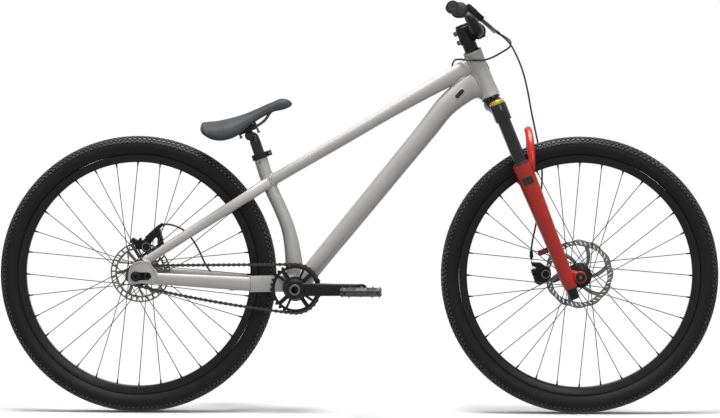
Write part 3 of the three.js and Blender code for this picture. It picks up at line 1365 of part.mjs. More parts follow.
function caliperArm(pivot, end, inner) {
  const middle = inner + caliperArmThickness / 2;
  const at = (point) => vec(point.x, middle, point.z);
  const arm = bar(at(pivot), at(end), caliperArmThickness / 2, pivotPin);
  const hubDisc = rod(vec(pivot.x, inner, pivot.z), vec(pivot.x, inner + caliperArmThickness, pivot.z),
    pivotPin * 2.2, 16);
  const anchor = rod(vec(end.x, inner, end.z), vec(end.x, inner + caliperArmThickness, end.z), pivotPin * 1.3, 12);
  const bore = rod(vec(pivot.x, inner - cutOverrun, pivot.z), vec(pivot.x, inner + cutOverrun * 2, pivot.z),
    pivotPin + seatGap, 12);
  return cut(join(arm, hubDisc, anchor), bore);
}
add('front_caliper_arm', caliperArm(frontPivot, frontArmEnd, frontArmInner), blackAluminium());

const rearCaliperInner = rearRotorPlane - caliperThickness * 0.43;
const rearCaliperOuter = rearRotorPlane + rearCaliperReach;
const rearArmInner = rearCaliperOuter + seatGap * 2;
function rearCaliperBody() {
  const bodyTop = rearAxle.z + rearRotorRadius + rearCaliperOver;
  const bodyFoot = bodyTop - rearCaliperHeight;
  const [from, to] = [rearAxle.x - rearCaliperBack, rearAxle.x - rearCaliperBack + rearCaliperLength];
  const body = boxIn(worldPlace, [from, to], [bodyFoot, bodyTop], [rearCaliperInner, rearCaliperOuter]);
  const slot = boxIn(worldPlace, [from - cutOverrun, to + cutOverrun], [bodyFoot - cutOverrun,
    rearAxle.z + rearRotorRadius + seatGap * 8], rearSlot);
  const foot = boxIn(
    worldPlace,
    [rearAxle.x - dropoutLength * 0.3, rearAxle.x - dropoutLength * 0.1],
    [rearAxle.z + dropoutHeight * 0.36, bodyFoot + tabThickness / 2],
    [rearCaliperOuter - tabThickness * 0.4, plateInner - seatGap],
  );
  const stop = cableStop(rearHoseRoute, stopLength);
  const stopEnd = vec(...rearHoseRoute[rearHoseRoute.length - 1]);
  const bracket = bar(vec(to - tabThickness, rearCaliperOuter - tabThickness * 0.6, bodyTop - tabThickness),
    vec(stopEnd.x - tabThickness * 0.5, stopEnd.y - tabThickness * 0.2, stopEnd.z - tabThickness * 0.55), tabThickness / 2,
    tabThickness * 0.7);
  const stud = rod(vec(rearPivot.x, rearCaliperOuter - caliperArmThickness / 2, rearPivot.z), vec(rearPivot.x, rearArmInner
    + caliperArmThickness + seatGap, rearPivot.z), pivotPin, 12);
  return cut(
    join(cut(body, slot), foot, bracket, stop, stud),
    hoseEnd(rearHoseRoute, stopLength),
    wireLine(rearHoseRoute, rearArmEnd, rearArmInner, 3 * wireRadius, 8),
  );
}
add('rear_caliper', rearCaliperBody(), blackAluminium());
add('rear_caliper_arm', caliperArm(rearPivot, rearArmEnd, rearArmInner), blackAluminium());

// Brake housings, each with the bare wire that runs on to its caliper's arm
const housing = (route, armEnd, armInner) => join(
  hose(route, hoseRadius),
  wireLine(route, armEnd, armInner, wireRadius, 6),
);
add('front_brake_cable', housing(frontHoseRoute, frontArmEnd, frontArmInner), rubber());
add('rear_brake_hose', housing(rearHoseRoute, rearArmEnd, rearArmInner), rubber());

// Seatpost with a cross barrel at its top, and the clamp and rails above it
const railPlace = vec(seatTubeTop.x - railBack, 0, seatTubeTop.z + railUp);
const clampLean = saddleLean + THREE.MathUtils.degToRad(7.4);
const clampAlong = vec(Math.cos(clampLean), 0, Math.sin(clampLean));
const clampUp = vec(-Math.sin(clampLean), 0, Math.cos(clampLean));
function clampPoint(along, up, across) {
  const point = railPlace.clone().addScaledVector(clampAlong, along).addScaledVector(clampUp, up);
  point.y = across;
  return point;
}
const headCentre = clampPoint(0, -clampHeight / 2 - headRadius * 0.75, 0);
function seatpostBody() {
  const head = rod(headCentre.clone().setY(-clampWidth / 4), headCentre.clone().setY(clampWidth / 4), headRadius, 16);
  const neck = bar(postPoint(postAbove * 0.6, 0), headCentre, postRadius * 0.9, postRadius * 0.8);
  const post = rod(postPoint(-postBelow, 0), postPoint(postAbove * 0.75, 0), postRadius, 16);
  return join(post, neck, head);
}
add('seatpost', seatpostBody(), blackAluminium());

const saddleAhead = vec(Math.cos(saddleLean), 0, Math.sin(saddleLean));
const saddleUp = vec(-Math.sin(saddleLean), 0, Math.cos(saddleLean));
const saddleTail = vec(seatTubeTop.x - saddleTailBack, 0, seatTubeTop.z + saddleTailUp);
function saddlePoint(along, up, across) {
  const point = saddleTail.clone().addScaledVector(saddleAhead, along).addScaledVector(saddleUp, up);
  point.y = across;
  return point;
}
// Sections of the saddle: shares of its length, half width, top height and edge height
const saddleSections = [
  [0, 0.62, 0.2, -0.12], [0.03, 0.86, 0.48, -0.3], [0.09, 0.97, 0.42, -0.66], [0.19, 1, 0.33, -0.95],
  [0.28, 0.97, 0.3, -1], [0.37, 0.84, 0.3, -0.92], [0.49, 0.6, 0.34, -0.55], [0.64, 0.4, 0.48, -0.2],
  [0.79, 0.31, 0.64, 0.02], [0.93, 0.27, 0.68, 0.02], [1, 0.16, 0.42, 0.12],
];
const archTurns = [-90, -66, -42, -16, 16, 42, 66, 90];
function saddleRing(along, halfWidth, top, edge, less) {
  const rise = top - edge;
  return archTurns.map((turn) => {
    const angle = THREE.MathUtils.degToRad(turn);
    return saddlePoint(
      along,
      edge + less * 0.15 + (rise - less) * Math.cos(angle) ** 0.75,
      (halfWidth - less * 0.8) * Math.sin(angle),
    );
  });
}
function saddleLayer(outerLess, innerLess, from, to) {
  const rings = saddleSections.slice(from, to).map(([share, width, top, edge]) => {
    const measures = [share * saddleLength, (saddleWidth / 2) * width, saddleDrop * top, saddleDrop * edge];
    const thin = Math.min(1, 0.35 + width);
    return [...saddleRing(...measures, outerLess * thin), ...saddleRing(...measures, innerLess * thin).reverse()];
  });
  return loftArch(rings);
}
// Rings of an arch: an outer row and an inner row back, capped by strips between the rows
function loftArch(rings) {
  const count = rings[0].length;
  const faces = [];
  for (let r = 0; r < rings.length - 1; r += 1) {
    for (let i = 0; i < count; i += 1) {
      const j = (i + 1) % count;
      faces.push([r * count + i, r * count + j, (r + 1) * count + j]);
      faces.push([r * count + i, (r + 1) * count + j, (r + 1) * count + i]);
    }
  }
  const last = (rings.length - 1) * count;
  for (let i = 0; i < count / 2 - 1; i += 1) {
    const [a, b, c, d] = [i, i + 1, count - 2 - i, count - 1 - i];
    faces.push([a, c, b], [a, d, c], [last + a, last + b, last + c], [last + a, last + c, last + d]);
  }
  return fromFaces(rings.flat(), faces);
}
const padUnder = padThickness;
const shellOver = padUnder + seatGap * 2;
const railShares = [[0.1, -0.06, 1.15], [0.18, -0.42, 1.1], [0.3, -0.86, 1], [0.42, -0.82, 1], [0.6, -0.66, 1],
  [0.68, -0.36, 0.8], [0.76, 0.06, 0.5], [0.84, 0.33, 0.3]];
function saddleBaseBody() {
  const base = saddleLayer(shellOver, shellOver + baseWall, 1, 10);
  const rails = [-1, 1].map((side) => {
    const along = clampPoint(0, 0, 0).sub(saddleTail).dot(saddleAhead) / saddleLength;
    const up = clampPoint(0, 0, 0).sub(saddleTail).dot(saddleUp) / saddleDrop;
    const slope = (Math.tan(clampLean - saddleLean) * saddleLength) / saddleDrop;
    const straight = [-0.12, 0.12].map((shift) => [along + shift, up + slope * shift, 1]);
    const shares = [...railShares.filter(([share]) => share < along - 0.14), ...straight,
      ...railShares.filter(([share]) => share > along + 0.14)];
    return tube(shares.map(([share, height, spread]) => round(
      saddlePoint(share * saddleLength, height * saddleDrop, side * spread * railSpread),
      railRadius,
    )), { sides: 6 });
  });
  const clampSpace = boxIn(
    clampPoint,
    [-clampLength / 2 - 2 * seatGap, clampLength / 2 + 2 * seatGap],
    [-clampHeight / 2 - 2 * seatGap, clampHeight / 2 + 2 * seatGap],
    [-clampWidth / 2 - 2 * seatGap, clampWidth / 2 + 2 * seatGap],
  );
  return cut(join(cut(base, clampSpace), ...rails), saddleLayer(-saddleDrop / 4, padUnder + seatGap, 0, 11));
}
add('saddle_pad', saddleLayer(0, padUnder, 0, 11), saddleCover());
add('saddle_base', saddleBaseBody(), blackPlastic());

function saddleClampBody() {
  const half = clampLength / 2;
  const block = boxIn((a, b, across) => clampPoint(a, b, across), [-half, half], [-clampHeight / 2, clampHeight / 2],
    [-clampWidth / 2, clampWidth / 2]);
  const bolts = [[-half * 0.72, -1.5], [half * 0.9, -1.6]].map(([along, down]) => rod(
    clampPoint(along, 0, 0),
    clampPoint(along * 1.05, clampHeight * down, 0),
    pivotPin * 1.1,
    10,
  ));
  const railBores = [-1, 1].map((side) => rod(clampPoint(-half - cutOverrun, 0, side * railSpread),
    clampPoint(half + cutOverrun, 0, side * railSpread), railRadius + seatGap * 1.5, 12));
  const cradle = rod(headCentre.clone().setY(-clampWidth), headCentre.clone().setY(clampWidth), headRadius
    + seatGap * 1.5, 16);
  return cut(join(block, ...bolts), ...railBores, cradle);
}
add('saddle_clamp', saddleClampBody(), blackAluminium());

export default bike;
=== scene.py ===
"""Dirt jump bike: the dressed visual model, its studio and its camera.

Lengths are in millimetres in the classes and become metres as a mesh is made.
"""

import logging
from collections.abc import Callable, Sequence
from dataclasses import dataclass, field
from enum import Enum
from math import asin, atan2, copysign, cos, exp, pi, radians, sin, sqrt, tan

import bpy
import numpy as np
from mathutils import Matrix, Vector
from mathutils.bvhtree import BVHTree

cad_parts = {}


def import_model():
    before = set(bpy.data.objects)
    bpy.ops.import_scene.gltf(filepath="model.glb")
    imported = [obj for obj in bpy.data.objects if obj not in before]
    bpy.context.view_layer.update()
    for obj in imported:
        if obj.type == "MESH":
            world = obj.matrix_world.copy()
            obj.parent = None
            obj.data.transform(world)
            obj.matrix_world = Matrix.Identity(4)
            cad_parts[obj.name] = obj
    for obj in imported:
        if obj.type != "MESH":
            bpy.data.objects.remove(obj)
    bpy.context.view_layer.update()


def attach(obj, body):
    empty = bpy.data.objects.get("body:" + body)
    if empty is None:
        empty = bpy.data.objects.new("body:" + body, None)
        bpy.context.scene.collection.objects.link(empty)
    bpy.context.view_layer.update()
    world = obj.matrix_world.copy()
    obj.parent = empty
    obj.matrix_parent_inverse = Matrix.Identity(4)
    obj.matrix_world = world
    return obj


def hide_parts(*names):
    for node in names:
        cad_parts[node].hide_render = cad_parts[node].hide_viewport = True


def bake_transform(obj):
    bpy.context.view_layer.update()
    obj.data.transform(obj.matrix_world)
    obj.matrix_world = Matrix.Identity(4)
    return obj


LOG = logging.getLogger("bike")
MM = 0.001
TURN = 2 * pi
ACROSS = Vector((0, 1, 0))
UPRIGHT = Vector((0, 0, 1))
SIDES = ((-1, "right"), (1, "left"))
Object = bpy.types.Object
Ring = list[Vector]
Pair = tuple[float, float]
Outline = Sequence[Pair]
Rows = Sequence[Sequence[float]]


def heading(angle: float) -> Vector:
    """Direction in the side view at an angle above the way ahead."""
    return Vector((cos(angle), 0, sin(angle)))


def square_to(way: Vector) -> Vector:
    """Direction in the side view a quarter turn above another."""
    return Vector((-way.z, 0, way.x))


@dataclass(frozen=True)
class Layout:
    """The bike's main places in the side view, in millimetres."""

    wheelbase: float = 1097
    tyre_radius: float = 345
    shell_ahead: float = 393
    shell_drop: float = 32
    head_angle: float = radians(68)
    fork_length: float = 494
    fork_offset: float = 40.4
    seat_angle: float = radians(71.2)
    seat_tube_length: float = 343.8
    seat_tube_lean: float = radians(15.4)
    lever_pitch: float = radians(41)

    @property
    def rear_axle(self) -> Vector:
        """Middle of the rear axle."""
        return Vector((-self.wheelbase / 2, 0, self.tyre_radius))

    @property
    def front_axle(self) -> Vector:
        """Middle of the front axle."""
        return Vector((self.wheelbase / 2, 0, self.tyre_radius))

    @property
    def shell(self) -> Vector:
        """Middle of the bottom bracket."""
        return self.rear_axle + Vector((self.shell_ahead, 0, -self.shell_drop))

    @property
    def steer_down(self) -> Vector:
        """Direction of the steering axis, downwards."""
        return heading(-self.head_angle)

    @property
    def steer_ahead(self) -> Vector:
        """Direction square to the steering axis, forwards."""
        return square_to(self.steer_down)

    @property
    def post_up(self) -> Vector:
        """Direction of the seatpost, upwards."""
        return heading(pi - self.seat_angle)

    @property
    def post_ahead(self) -> Vector:
        """Direction square to the seatpost, forwards."""
        return -square_to(self.post_up)

    @property
    def seat_top(self) -> Vector:
        """Middle of the seat tube's top."""
        return self.shell + heading(pi / 2 + self.seat_tube_lean) * self.seat_tube_length

    def steer(self, along: float, ahead: float = 0, across: float = 0) -> Vector:
        """Place along and ahead of the steering axis, from the head tube's foot."""
        foot = self.front_axle - self.steer_down * self.fork_length - self.steer_ahead * self.fork_offset
        return foot + self.steer_down * along + self.steer_ahead * ahead + ACROSS * across

    def post(self, along: float, ahead: float = 0, across: float = 0) -> Vector:
        """Place along and ahead of the seatpost's axis, from the seat tube's top."""
        return self.seat_top + self.post_up * along + self.post_ahead * ahead + ACROSS * across


PLACE = Layout()


# Modelling


def deselect() -> None:
    """Leave edit mode and select nothing."""
    if bpy.context.object is not None and bpy.context.object.mode != "OBJECT":
        bpy.ops.object.mode_set(mode="OBJECT")
    bpy.ops.object.select_all(action="DESELECT")


def choose(*objects: Object) -> None:
    """Select these objects alone and make the first one active."""
    deselect()
    for each in objects:
        each.select_set(True)
    bpy.context.view_layer.objects.active = objects[0]


def tidy_mesh(piece: Object, filled: bool = False) -> None:
    """Merge a mesh's seam and turn its faces outward.

    Args:
        piece: The object to tidy.
        filled: Whether its open ends are closed.
    """
    choose(piece)
    bpy.ops.object.mode_set(mode="EDIT")
    bpy.ops.mesh.select_all(action="SELECT")
    bpy.ops.mesh.remove_doubles(threshold=2e-6)
    bpy.ops.mesh.dissolve_degenerate(threshold=1e-6)
    bpy.ops.mesh.select_all(action="SELECT")
    if filled:
        bpy.ops.mesh.fill_holes(sides=0)
        bpy.ops.mesh.select_all(action="SELECT")
    bpy.ops.mesh.normals_make_consistent(inside=False)
    bpy.ops.object.mode_set(mode="OBJECT")


def rolled(rings: Sequence[Ring], looped: bool = False) -> Object:
    """Roll a grid into a tube with closed ends, with its UV map in metres.

    Args:
        rings: Rings with the same number of points.
        looped: Whether the last ring joins the first.

    Returns:
        The new object.
    """
    rows = list(rings) + ([rings[0]] if looped else [])
    count, sides = len(rows), len(rows[0])
    deselect()
    bpy.ops.mesh.primitive_grid_add(x_subdivisions=count - 1, y_subdivisions=sides, size=1)
    piece = bpy.context.object
    places = np.array([[tuple(row[side % sides]) for row in rows] for side in range(sides + 1)]) * MM
    piece.data.vertices.foreach_set("co", places.reshape(-1))
    steps = np.linalg.norm(np.diff(places.mean(axis=0) if not looped else places[0], axis=0), axis=1)
    along = np.concatenate([[0], np.cumsum(steps)])
    girth = np.linalg.norm(np.diff(places, axis=0), axis=2).sum(axis=0).mean() / sides
    corners = np.zeros(len(piece.data.loops), dtype=np.int32)
    piece.data.loops.foreach_get("vertex_index", corners)
    uv = np.stack([along[corners % count], (corners // count) * girth], axis=1)
    piece.data.uv_layers[0].data.foreach_set("uv", uv.reshape(-1))
    tidy_mesh(piece, not looped)
    return piece


def ring(centre: Vector, across: Vector, normal: Vector, half_across: float, half_normal: float,
         power: float = 1, sides: int = 36) -> Ring:
    """Points of a rounded section.

    Args:
        centre: Middle of the section.
        across: Direction of the first half width.
        normal: Direction of the second half width.
        half_across: First half width.
        half_normal: Second half width.
        power: 1 for an ellipse, less for a squarer section.
        sides: Number of points.

    Returns:
        The ring of points.
    """
    angles = [TURN * step / sides for step in range(sides)]
    return [centre + across * (half_across * copysign(abs(cos(angle)) ** power, cos(angle)))
            + normal * (half_normal * copysign(abs(sin(angle)) ** power, sin(angle))) for angle in angles]


def resample(rows: Rows, steps: int, looped: bool = False) -> np.ndarray:
    """Pass a smooth curve through rows of numbers whose first three are a place.

    Args:
        rows: The rows to pass through.
        steps: Number of rows to return.
        looped: Whether the curve closes on itself.

    Returns:
        The rows, evenly spread along the curve.
    """
    data = np.array(rows, dtype=float)
    if looped:
        data = np.vstack([data[-2:], data, data[:3]])
    gaps = np.maximum(np.linalg.norm(np.diff(data[:, :3], axis=0), axis=1), 1e-6)
    times = np.concatenate([[0], np.cumsum(gaps)])
    slopes = np.diff(data, axis=0) / gaps[:, None]
    tangents = np.empty_like(data)
    tangents[0], tangents[-1] = slopes[0], slopes[-1]
    before, after = gaps[:-1, None], gaps[1:, None]
    tangents[1:-1] = (slopes[1:] * before + slopes[:-1] * after) / (before + after)
    low, high = (times[2], times[-3]) if looped else (times[0], times[-1])
    wanted = np.linspace(low, high, steps + 1)[:-1] if looped else np.linspace(low, high, steps)
    index = np.clip(np.searchsorted(times, wanted, side="right") - 1, 0, len(gaps) - 1)
    span = gaps[index][:, None]
    share = (wanted - times[index])[:, None] / span
    square, cube = share ** 2, share ** 3
    return ((2 * cube - 3 * square + 1) * data[index] + (cube - 2 * square + share) * span * tangents[index]
            + (3 * square - 2 * cube) * data[index + 1] + (cube - square) * span * tangents[index + 1])


def sections(rows: Rows, steps: int, sides: int = 36, reference: Vector = ACROSS) -> list[Ring]:
    """Rings along a smooth path.

    Args:
        rows: Stations of x, y, z, half width along the reference, half width square to it, and power.
        steps: Number of rings.
        sides: Points of each ring.
        reference: Direction that each section's first half width follows.

    Returns:
        The rings.
    """
    data = resample(rows, steps)
    result = []
    for row, way in zip(data, np.gradient(data[:, :3], axis=0), strict=True):
        forward = Vector(way).normalized()
        across = (reference - forward * reference.dot(forward)).normalized()
        result.append(ring(Vector(row[:3]), across, across.cross(forward), *row[3:], sides))
    return result


def tube(path: Rows, radius: float | Sequence[float], steps: int, sides: int = 12,
         looped: bool = False) -> Object:
    """Sweep a round section along a smooth path.

    Args:
        path: Places that the tube follows.
        radius: Its radius, or one for each place.
        steps: Number of rings.
        sides: Points of each ring.
        looped: Whether the tube closes on itself.

    Returns:
        The new object.
    """
    radii = [radius] * len(path) if isinstance(radius, (int, float)) else radius
    data = resample([[*place, each] for place, each in zip(path, radii, strict=True)], steps, looped)
    centres = [Vector(row[:3]) for row in data]
    count = len(centres)
    side_way = None
    rings = []
    for index, centre in enumerate(centres):
        ahead = centres[(index + 1) % count if looped else min(index + 1, count - 1)]
        behind = centres[(index - 1) % count if looped else max(index - 1, 0)]
        forward = (ahead - behind).normalized()
        if side_way is None:
            side_way = UPRIGHT if abs(forward.z) < 0.8 else Vector((1, 0, 0))
            side_way = (side_way - forward * side_way.dot(forward)).normalized()
        side_way = (side_way - forward * side_way.dot(forward)).normalized()
        size = data[index][3]
        rings.append(ring(centre, side_way, forward.cross(side_way), size, size, 1, sides))
    return rolled(rings, looped)


def soften(piece: Object, width: float, segments: int = 2, angle: float = 40) -> Object:
    """Round a piece's sharp edges with an applied bevel modifier.

    Args:
        piece: The object.
        width: Width of the bevel.
        segments: Number of its faces.
        angle: Least angle of an edge, in degrees.

    Returns:
        The piece.
    """
    if width:
        bevel = piece.modifiers.new("edge", "BEVEL")
        bevel.width, bevel.segments, bevel.angle_limit = width * MM, segments, radians(angle)
        choose(piece)
        bpy.ops.object.modifier_apply(modifier=bevel.name)
    return piece


def rod(start: Vector, end: Vector, radius: float, tip: float | None = None, sides: int = 32,
        edge: float = 0.6) -> Object:
    """A cylinder or cone primitive with softened rims, placed between two points.

    Args:
        start: Middle of one end.
        end: Middle of the other end.
        radius: Radius at the start.
        tip: Radius at the end, the same where it isn't given.
        sides: Number of sides.
        edge: Width of the softened rims.

    Returns:
        The new object.
    """
    way = end - start
    deselect()
    bpy.ops.mesh.primitive_cone_add(
        vertices=sides, radius1=radius * MM, radius2=(radius if tip is None else tip) * MM,
        depth=way.length * MM, location=(start + end) / 2 * MM,
        rotation=way.to_track_quat("Z", "Y").to_euler())
    piece = bpy.context.object
    bpy.ops.object.transform_apply(location=True, rotation=True, scale=True)
    return soften(piece, edge)


def pin(centre: Vector, reach: Vector, radius: float, sides: int = 32, edge: float = 0.6) -> Object:
    """A rod that reaches equally far both ways from its middle."""
    return rod(centre - reach, centre + reach, radius, None, sides, edge)


def block(axes: Ring, centre: Vector, size: tuple[float, float, float], edge: float = 1,
          segments: int = 2) -> Object:
    """A cube primitive sized, turned and given rounded edges.

    Args:
        axes: Directions of its three sides.
        centre: Its middle.
        size: Its length along each direction.
        edge: Width of the rounding.
        segments: Faces of the rounding.

    Returns:
        The new object.
    """
    deselect()
    bpy.ops.mesh.primitive_cube_add(size=MM)
    piece = bpy.context.object
    matrix = Matrix([axis * length for axis, length in zip(axes, size, strict=True)]).transposed().to_4x4()
    matrix.translation = centre * MM
    piece.data.transform(matrix)
    tidy_mesh(piece)
    return soften(piece, edge, segments)


def sweep_bar(start: Vector, end: Vector, thickness: float, width: float) -> Object:
    """A rounded bar between two places of the side view.

    Args:
        start: Middle of one end.
        end: Middle of the other.
        thickness: Its size across the bike.
        width: Its size square to its length.

    Returns:
        The new object.
    """
    way = (end - start).normalized()
    return block((way, ACROSS, ACROSS.cross(way)), (start + end) / 2,
                 ((end - start).length + width * 0.7, thickness, width), min(thickness, width) * 0.3, 4)


def prism_block(outline: Ring, up: Vector, half: float) -> Object:
    """Raise an outline both ways along a direction and round its edges."""
    return soften(rolled([[place + up * rise for place in outline] for rise in (-half, half)]), 1.6, 3, 30)


def turned(centre: Vector, axis: Vector, profile: Outline, steps: int = 72) -> Object:
    """Turn a closed profile about an axis.

    Args:
        centre: Place on the axis from which the profile is measured.
        axis: Direction of the axis.
        profile: Points of radius and place along the axis.
        steps: Number of steps in the turn.

    Returns:
        The new object.
    """
    first = axis.orthogonal().normalized()
    second = axis.cross(first)
    ways = [first * cos(TURN * step / steps) + second * sin(TURN * step / steps) for step in range(steps)]
    return rolled([[centre + out * radius + axis * along for radius, along in profile] for out in ways], True)


def both_sides(centre: Vector, profile: Outline, steps: int = 48) -> list[Object]:
    """Turn a profile out to either side of the middle plane."""
    return [turned(centre, ACROSS * side, profile, steps) for side in (-1, 1)]


def plate(outlines: Sequence[Outline], middle: float, thickness: float, edge: float = 0.35,
          level: bool = False) -> Object:
    """Cut a plate in the side view, or a level one, out of outlines, of which the inner ones are holes.

    Args:
        outlines: Outlines of x and z.
        middle: Place of the plate's middle across the bike.
        thickness: Its thickness.
        edge: Width of its rounded edges.
        level: Whether the outlines are of x and y, and the middle is a height.

    Returns:
        The new object.
    """
    curve = bpy.data.curves.new("plate", "CURVE")
    curve.dimensions, curve.fill_mode = "2D", "BOTH"
    curve.extrude = (thickness / 2 - edge) * MM
    curve.bevel_depth, curve.bevel_resolution = edge * MM, 1
    for outline in outlines:
        spline = curve.splines.new("POLY")
        spline.points.add(len(outline) - 1)
        spline.use_cyclic_u = True
        spline.points.foreach_set("co", [value for x, z in outline for value in (x * MM, z * MM, 0, 1)])
    piece = bpy.data.objects.new("plate", curve)
    bpy.context.scene.collection.objects.link(piece)
    choose(piece)
    bpy.ops.object.convert(target="MESH")
    piece = bpy.context.object
    upright = Matrix(((1, 0, 0, 0), (0, 0, -1, middle * MM), (0, 1, 0, 0), (0, 0, 0, 1)))
    piece.data.transform(Matrix.Translation((0, 0, middle * MM)) if level else upright)
    tidy_mesh(piece)
    return piece


def join(*parts: Object) -> Object:
    """Join parts into one object."""
    choose(*parts)
    if len(parts) > 1:
        bpy.ops.object.join()
    return bpy.context.object


def repeat(part: Object, matrices: Sequence[Matrix]) -> Object:
    """Copy a part once for each matrix, each with its own mesh, and join the copies.

    Args:
        part: The part, which is used up.
        matrices: Where each copy goes, from where the part is.

    Returns:
        The joined object.
    """
    copies = []
    for matrix in matrices:
        copy = part.copy()
        copy.data = part.data.copy()
        copy.data.transform(matrix)
        bpy.context.scene.collection.objects.link(copy)
        copies.append(copy)
    bpy.data.objects.remove(part)
    return join(*copies)


def repeat_about(part: Object, centre: Vector, count: int, axis: Vector = ACROSS) -> Object:
    """Copy a part evenly round an axis and join the copies."""
    spot = centre * MM
    return repeat(part, [Matrix.Translation(spot) @ Matrix.Rotation(TURN * step / count, 4, axis)
                         @ Matrix.Translation(-spot) for step in range(count)])


def arc(centre: Vector, radius: float, angles: Sequence[float]) -> list[Pair]:
    """Points of the side view at these angles about a place."""
    return [(centre.x + radius * cos(angle), centre.z + radius * sin(angle)) for angle in angles]


def circle(centre: Vector, radius: float, sides: int) -> list[Pair]:
    """Outline of a circle in the side view."""
    return arc(centre, radius, [TURN * step / sides for step in range(sides)])


def shell_profile(outer: Outline, inner: Outline) -> list[Pair]:
    """Closed profile of a shell: an outer half given from its edge, an inner half given from its middle."""
    return [*outer, *[(radius, -along) for radius, along in (*reversed(outer), *reversed(inner))], *inner]


def skin(*pieces: Object) -> BVHTree:
    """Search tree of the faces of some pieces, in metres."""
    points, faces = [], []
    for piece in pieces:
        start = len(points)
        points += [vertex.co.copy() for vertex in piece.data.vertices]
        faces += [[start + index for index in face.vertices] for face in piece.data.polygons]
    return BVHTree.FromPolygons(points, faces)


def surface_at(tree: BVHTree, x: float, z: float) -> Vector:
    """Outermost place of a search tree on the drive side, in millimetres."""
    return tree.ray_cast(Vector((x * MM, -0.5, z * MM)), ACROSS)[0] / MM


def crossing(rings: Sequence[Ring], tree: BVHTree) -> list[Ring]:
    """Where the lines along a tube first meet a surface.

    Args:
        rings: The tube's rings, the last ones in the surface.
        tree: Search tree of the surface.

    Returns:
        Runs of neighbouring places; a single run of all lines is a closed loop.
    """
    found = []
    for side in range(len(rings[0])):
        place = None
        for near, far in zip(rings, rings[1:], strict=False):
            way = (far[side] - near[side]) * MM
            place = tree.ray_cast(near[side] * MM, way.normalized(), way.length)[0]
            if place is not None:
                break
        found.append(None if place is None else place / MM)
    if None not in found:
        return [found]
    start = found.index(None)
    runs: list[Ring] = [[]]
    for place in found[start:] + found[:start]:
        if place is not None:
            runs[-1].append(place)
        elif runs[-1]:
            runs.append([])
    return [run for run in runs if len(run) > 3]


def weld(rings: Sequence[Ring], tree: BVHTree, radius: float, pitch: float = 4.4, step: float = 1.15,
         swell: float = 0.42) -> list[Object]:
    """Lay a rippled bead where a tube meets a surface.

    Args:
        rings: The tube's rings, the last ones in the surface.
        tree: Search tree of the surface.
        radius: The bead's mean radius.
        pitch: Length of a ripple.
        step: Distance between the bead's rings.
        swell: How much a ripple adds to the radius.

    Returns:
        One bead for each run of the seam.
    """
    beads = []
    for run in crossing(rings, tree):
        looped = len(run) == len(rings[0])
        length = sum((run[index] - run[index - 1]).length for index in range(0 if looped else 1, len(run)))
        count = max(12, round(length / step))
        path = resample([tuple(place) for place in run], count, looped)
        radii = [radius + swell * cos(TURN * index * step / pitch) for index in range(count)]
        beads.append(tube([tuple(row) for row in path], radii, count, 8, looped))
    return beads


# Finishes

Colour = tuple[float, float, float]
Socket = bpy.types.NodeSocket
Build = Callable[["Graph", dict[str, Socket]], Socket]


class Pattern(Enum):
    """Which coordinates a finish lays its grain along."""

    PLACE = "Object"
    LENGTHWISE = "UV"


class Graph:
    """Adds nodes to a shader tree, each with its values and links in one call."""

    def __init__(self, tree: bpy.types.NodeTree) -> None:
        """Keep the tree that nodes go to."""
        self.tree = tree

    @classmethod
    def emptied(cls, owner: bpy.types.Material | bpy.types.World) -> "Graph":
        """Graph of a material or world whose nodes are cleared."""
        owner.use_nodes = True
        owner.node_tree.nodes.clear()
        return cls(owner.node_tree)

    def add(self, kind: str, values: dict[str | int, object] | None = None,
            **settings: object) -> bpy.types.Node:
        """Add a node.

        Args:
            kind: The node's type.
            values: Input values by name or number; a socket is linked.
            **settings: Properties of the node.

        Returns:
            The new node.
        """
        node = self.tree.nodes.new(kind)
        for key, value in settings.items():
            setattr(node, key, value)
        for key, value in (values or {}).items():
            if isinstance(value, Socket):
                self.tree.links.new(value, node.inputs[key])
            else:
                node.inputs[key].default_value = value
        return node

    def math(self, operation: str, *values: object, clamp: bool = False) -> Socket:
        """Output of a math node on these values or sockets."""
        node = self.add("ShaderNodeMath", dict(enumerate(values)), operation=operation, use_clamp=clamp)
        return node.outputs[0]

    def mix(self, factor: object, first: object, second: object) -> Socket:
        """Output of a colour mix."""
        return self.add("ShaderNodeMix", {0: factor, 6: first, 7: second}, data_type="RGBA").outputs[2]

    def span(self, value: object, low: float, high: float, to_low: float = 0, to_high: float = 1) -> Socket:
        """Output of a clamped map range."""
        return self.add("ShaderNodeMapRange", {0: value, 1: low, 2: high, 3: to_low, 4: to_high}).outputs[0]

    def spot(self, kind: Pattern = Pattern.PLACE) -> Socket:
        """Coordinates of the shaded place."""
        return self.add("ShaderNodeTexCoord").outputs[kind.value]

    def noise(self, vector: object, scale: object, detail: float = 3) -> Socket:
        """Output of a noise texture."""
        return self.add("ShaderNodeTexNoise", {"Vector": vector, "Scale": scale, "Detail": detail}).outputs[0]

    def product(self, first: object, second: object, third: object) -> Socket:
        """Output of a clamped product of three masks."""
        return self.math("MULTIPLY", self.math("MULTIPLY", first, second), third, clamp=True)

    def shared(self, group: bpy.types.NodeTree, **values: object) -> Socket:
        """Output of a shared effect with these inputs."""
        return self.add("ShaderNodeGroup", values, node_tree=group).outputs[0]


